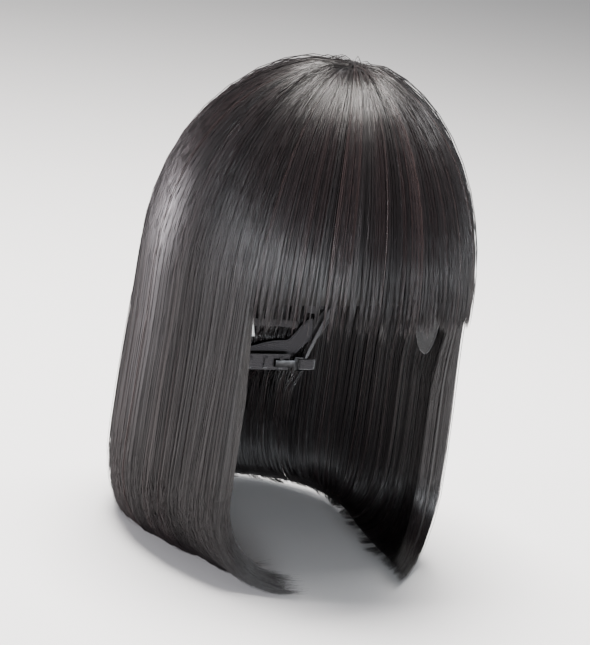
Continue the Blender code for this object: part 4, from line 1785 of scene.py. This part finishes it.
@dataclass
class Studio:
    """A plain pale floor, soft lamps and the camera."""

    centre: Vector
    drop: float = 12 * MM
    azimuth: float = -36.0
    elevation: float = 16.0
    roll: float = 8.4
    lens: float = 127.0
    distance: float = 1.2
    floor_gap: float = 0.2 * MM
    floor_reach: float = 6.0
    air: Triple = (0.92, 0.93, 0.95)
    air_strength: float = 0.33
    paper: Triple = (0.82, 0.82, 0.83)
    lamps: tuple[Lamp, ...] = (
        Lamp("crown_lamp", 180, 80, 1.2, (0.8, 0.6), 80, (1.0, 0.96, 0.92)),
        Lamp("low_front_lamp", -20, 2, 1.6, (0.6, 0.16), 26, (0.9, 0.95, 1.0)),
        Lamp("side_back_lamp", -110, 0, 1.2, (0.12, 0.4), 20, (1.0, 0.93, 0.98)),
        Lamp("far_side_lamp", 95, 40, 1.5, (0.5, 0.5), 5),
    )

    @staticmethod
    def direction(azimuth: float, elevation: float) -> Vector:
        """From the centre towards an azimuth and an elevation in degrees, 0 being the front."""
        a, e = azimuth * DEG, elevation * DEG
        return Vector((math.sin(a) * math.cos(e), -math.cos(a) * math.cos(e), math.sin(e)))

    def build(self, floor_z: float) -> None:
        """Makes the floor, the lamps, the world and the camera.

        Args:
            floor_z: Height of the floor.
        """
        centre = self.centre - Vector((0, 0, self.drop))
        world = bpy.data.worlds.new("studio")
        world.use_nodes = True
        background = world.node_tree.nodes["Background"]
        background.inputs[0].default_value = (*self.air, 1)
        background.inputs[1].default_value = self.air_strength
        bpy.context.scene.world = world
        mesh = bpy.data.meshes.new("floor")
        reach, floor_z = self.floor_reach, floor_z - self.floor_gap
        corners_xy = ((-reach, -reach), (reach, -reach), (reach, reach), (-reach, reach))
        mesh.from_pydata([(x, y, floor_z) for x, y in corners_xy], [], [(0, 1, 2, 3)])
        floor = link_object("floor", mesh)
        shading = Shading("floor_paper")
        shading.give("Base Color", (*self.paper, 1.0))
        shading.give("Roughness", 0.9)
        floor.data.materials.append(shading.material)
        floor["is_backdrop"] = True
        for lamp in self.lamps:
            data = bpy.data.lights.new(lamp.name, "AREA")
            data.shape, data.size, data.size_y = "RECTANGLE", *lamp.size
            data.energy, data.color = lamp.power, lamp.colour
            self.aim(link_object(lamp.name, data), centre, lamp.azimuth, lamp.elevation,
                     lamp.distance, 0.0)
        data = bpy.data.cameras.new("camera")
        data.lens = self.lens
        camera = link_object("camera", data)
        self.aim(camera, centre, self.azimuth, self.elevation, self.distance, self.roll)
        bpy.context.scene.camera = camera

    def aim(self, made: Piece, centre: Vector, azimuth: float, elevation: float,
            distance: float, roll: float) -> None:
        """Places a lamp or camera and turns it to the centre.

        Args:
            made: The lamp or camera.
            centre: What it looks at.
            azimuth: Its side, in degrees.
            elevation: Its height over the centre, in degrees.
            distance: From the centre.
            roll: Its turn about its own view, in degrees.
        """
        way = self.direction(azimuth, elevation)
        made.location = centre + way * distance
        turn = (-way).to_track_quat("-Z", "Y").to_matrix() @ Matrix.Rotation(roll * DEG, 3, "Z")
        made.rotation_euler = turn.to_euler()


def main() -> None:
    """Builds the wig's looks in order."""
    logging.basicConfig(level=logging.INFO, format="%(name)s %(message)s")
    low, high = CAD_BOX
    shop = Workshop()
    CapDress(shop).build()
    FittingDress(shop).build()
    HairDress(shop).build()
    Studio((low + high) / 2).build(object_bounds()[0].z)


if __name__ == "__main__":
    main()
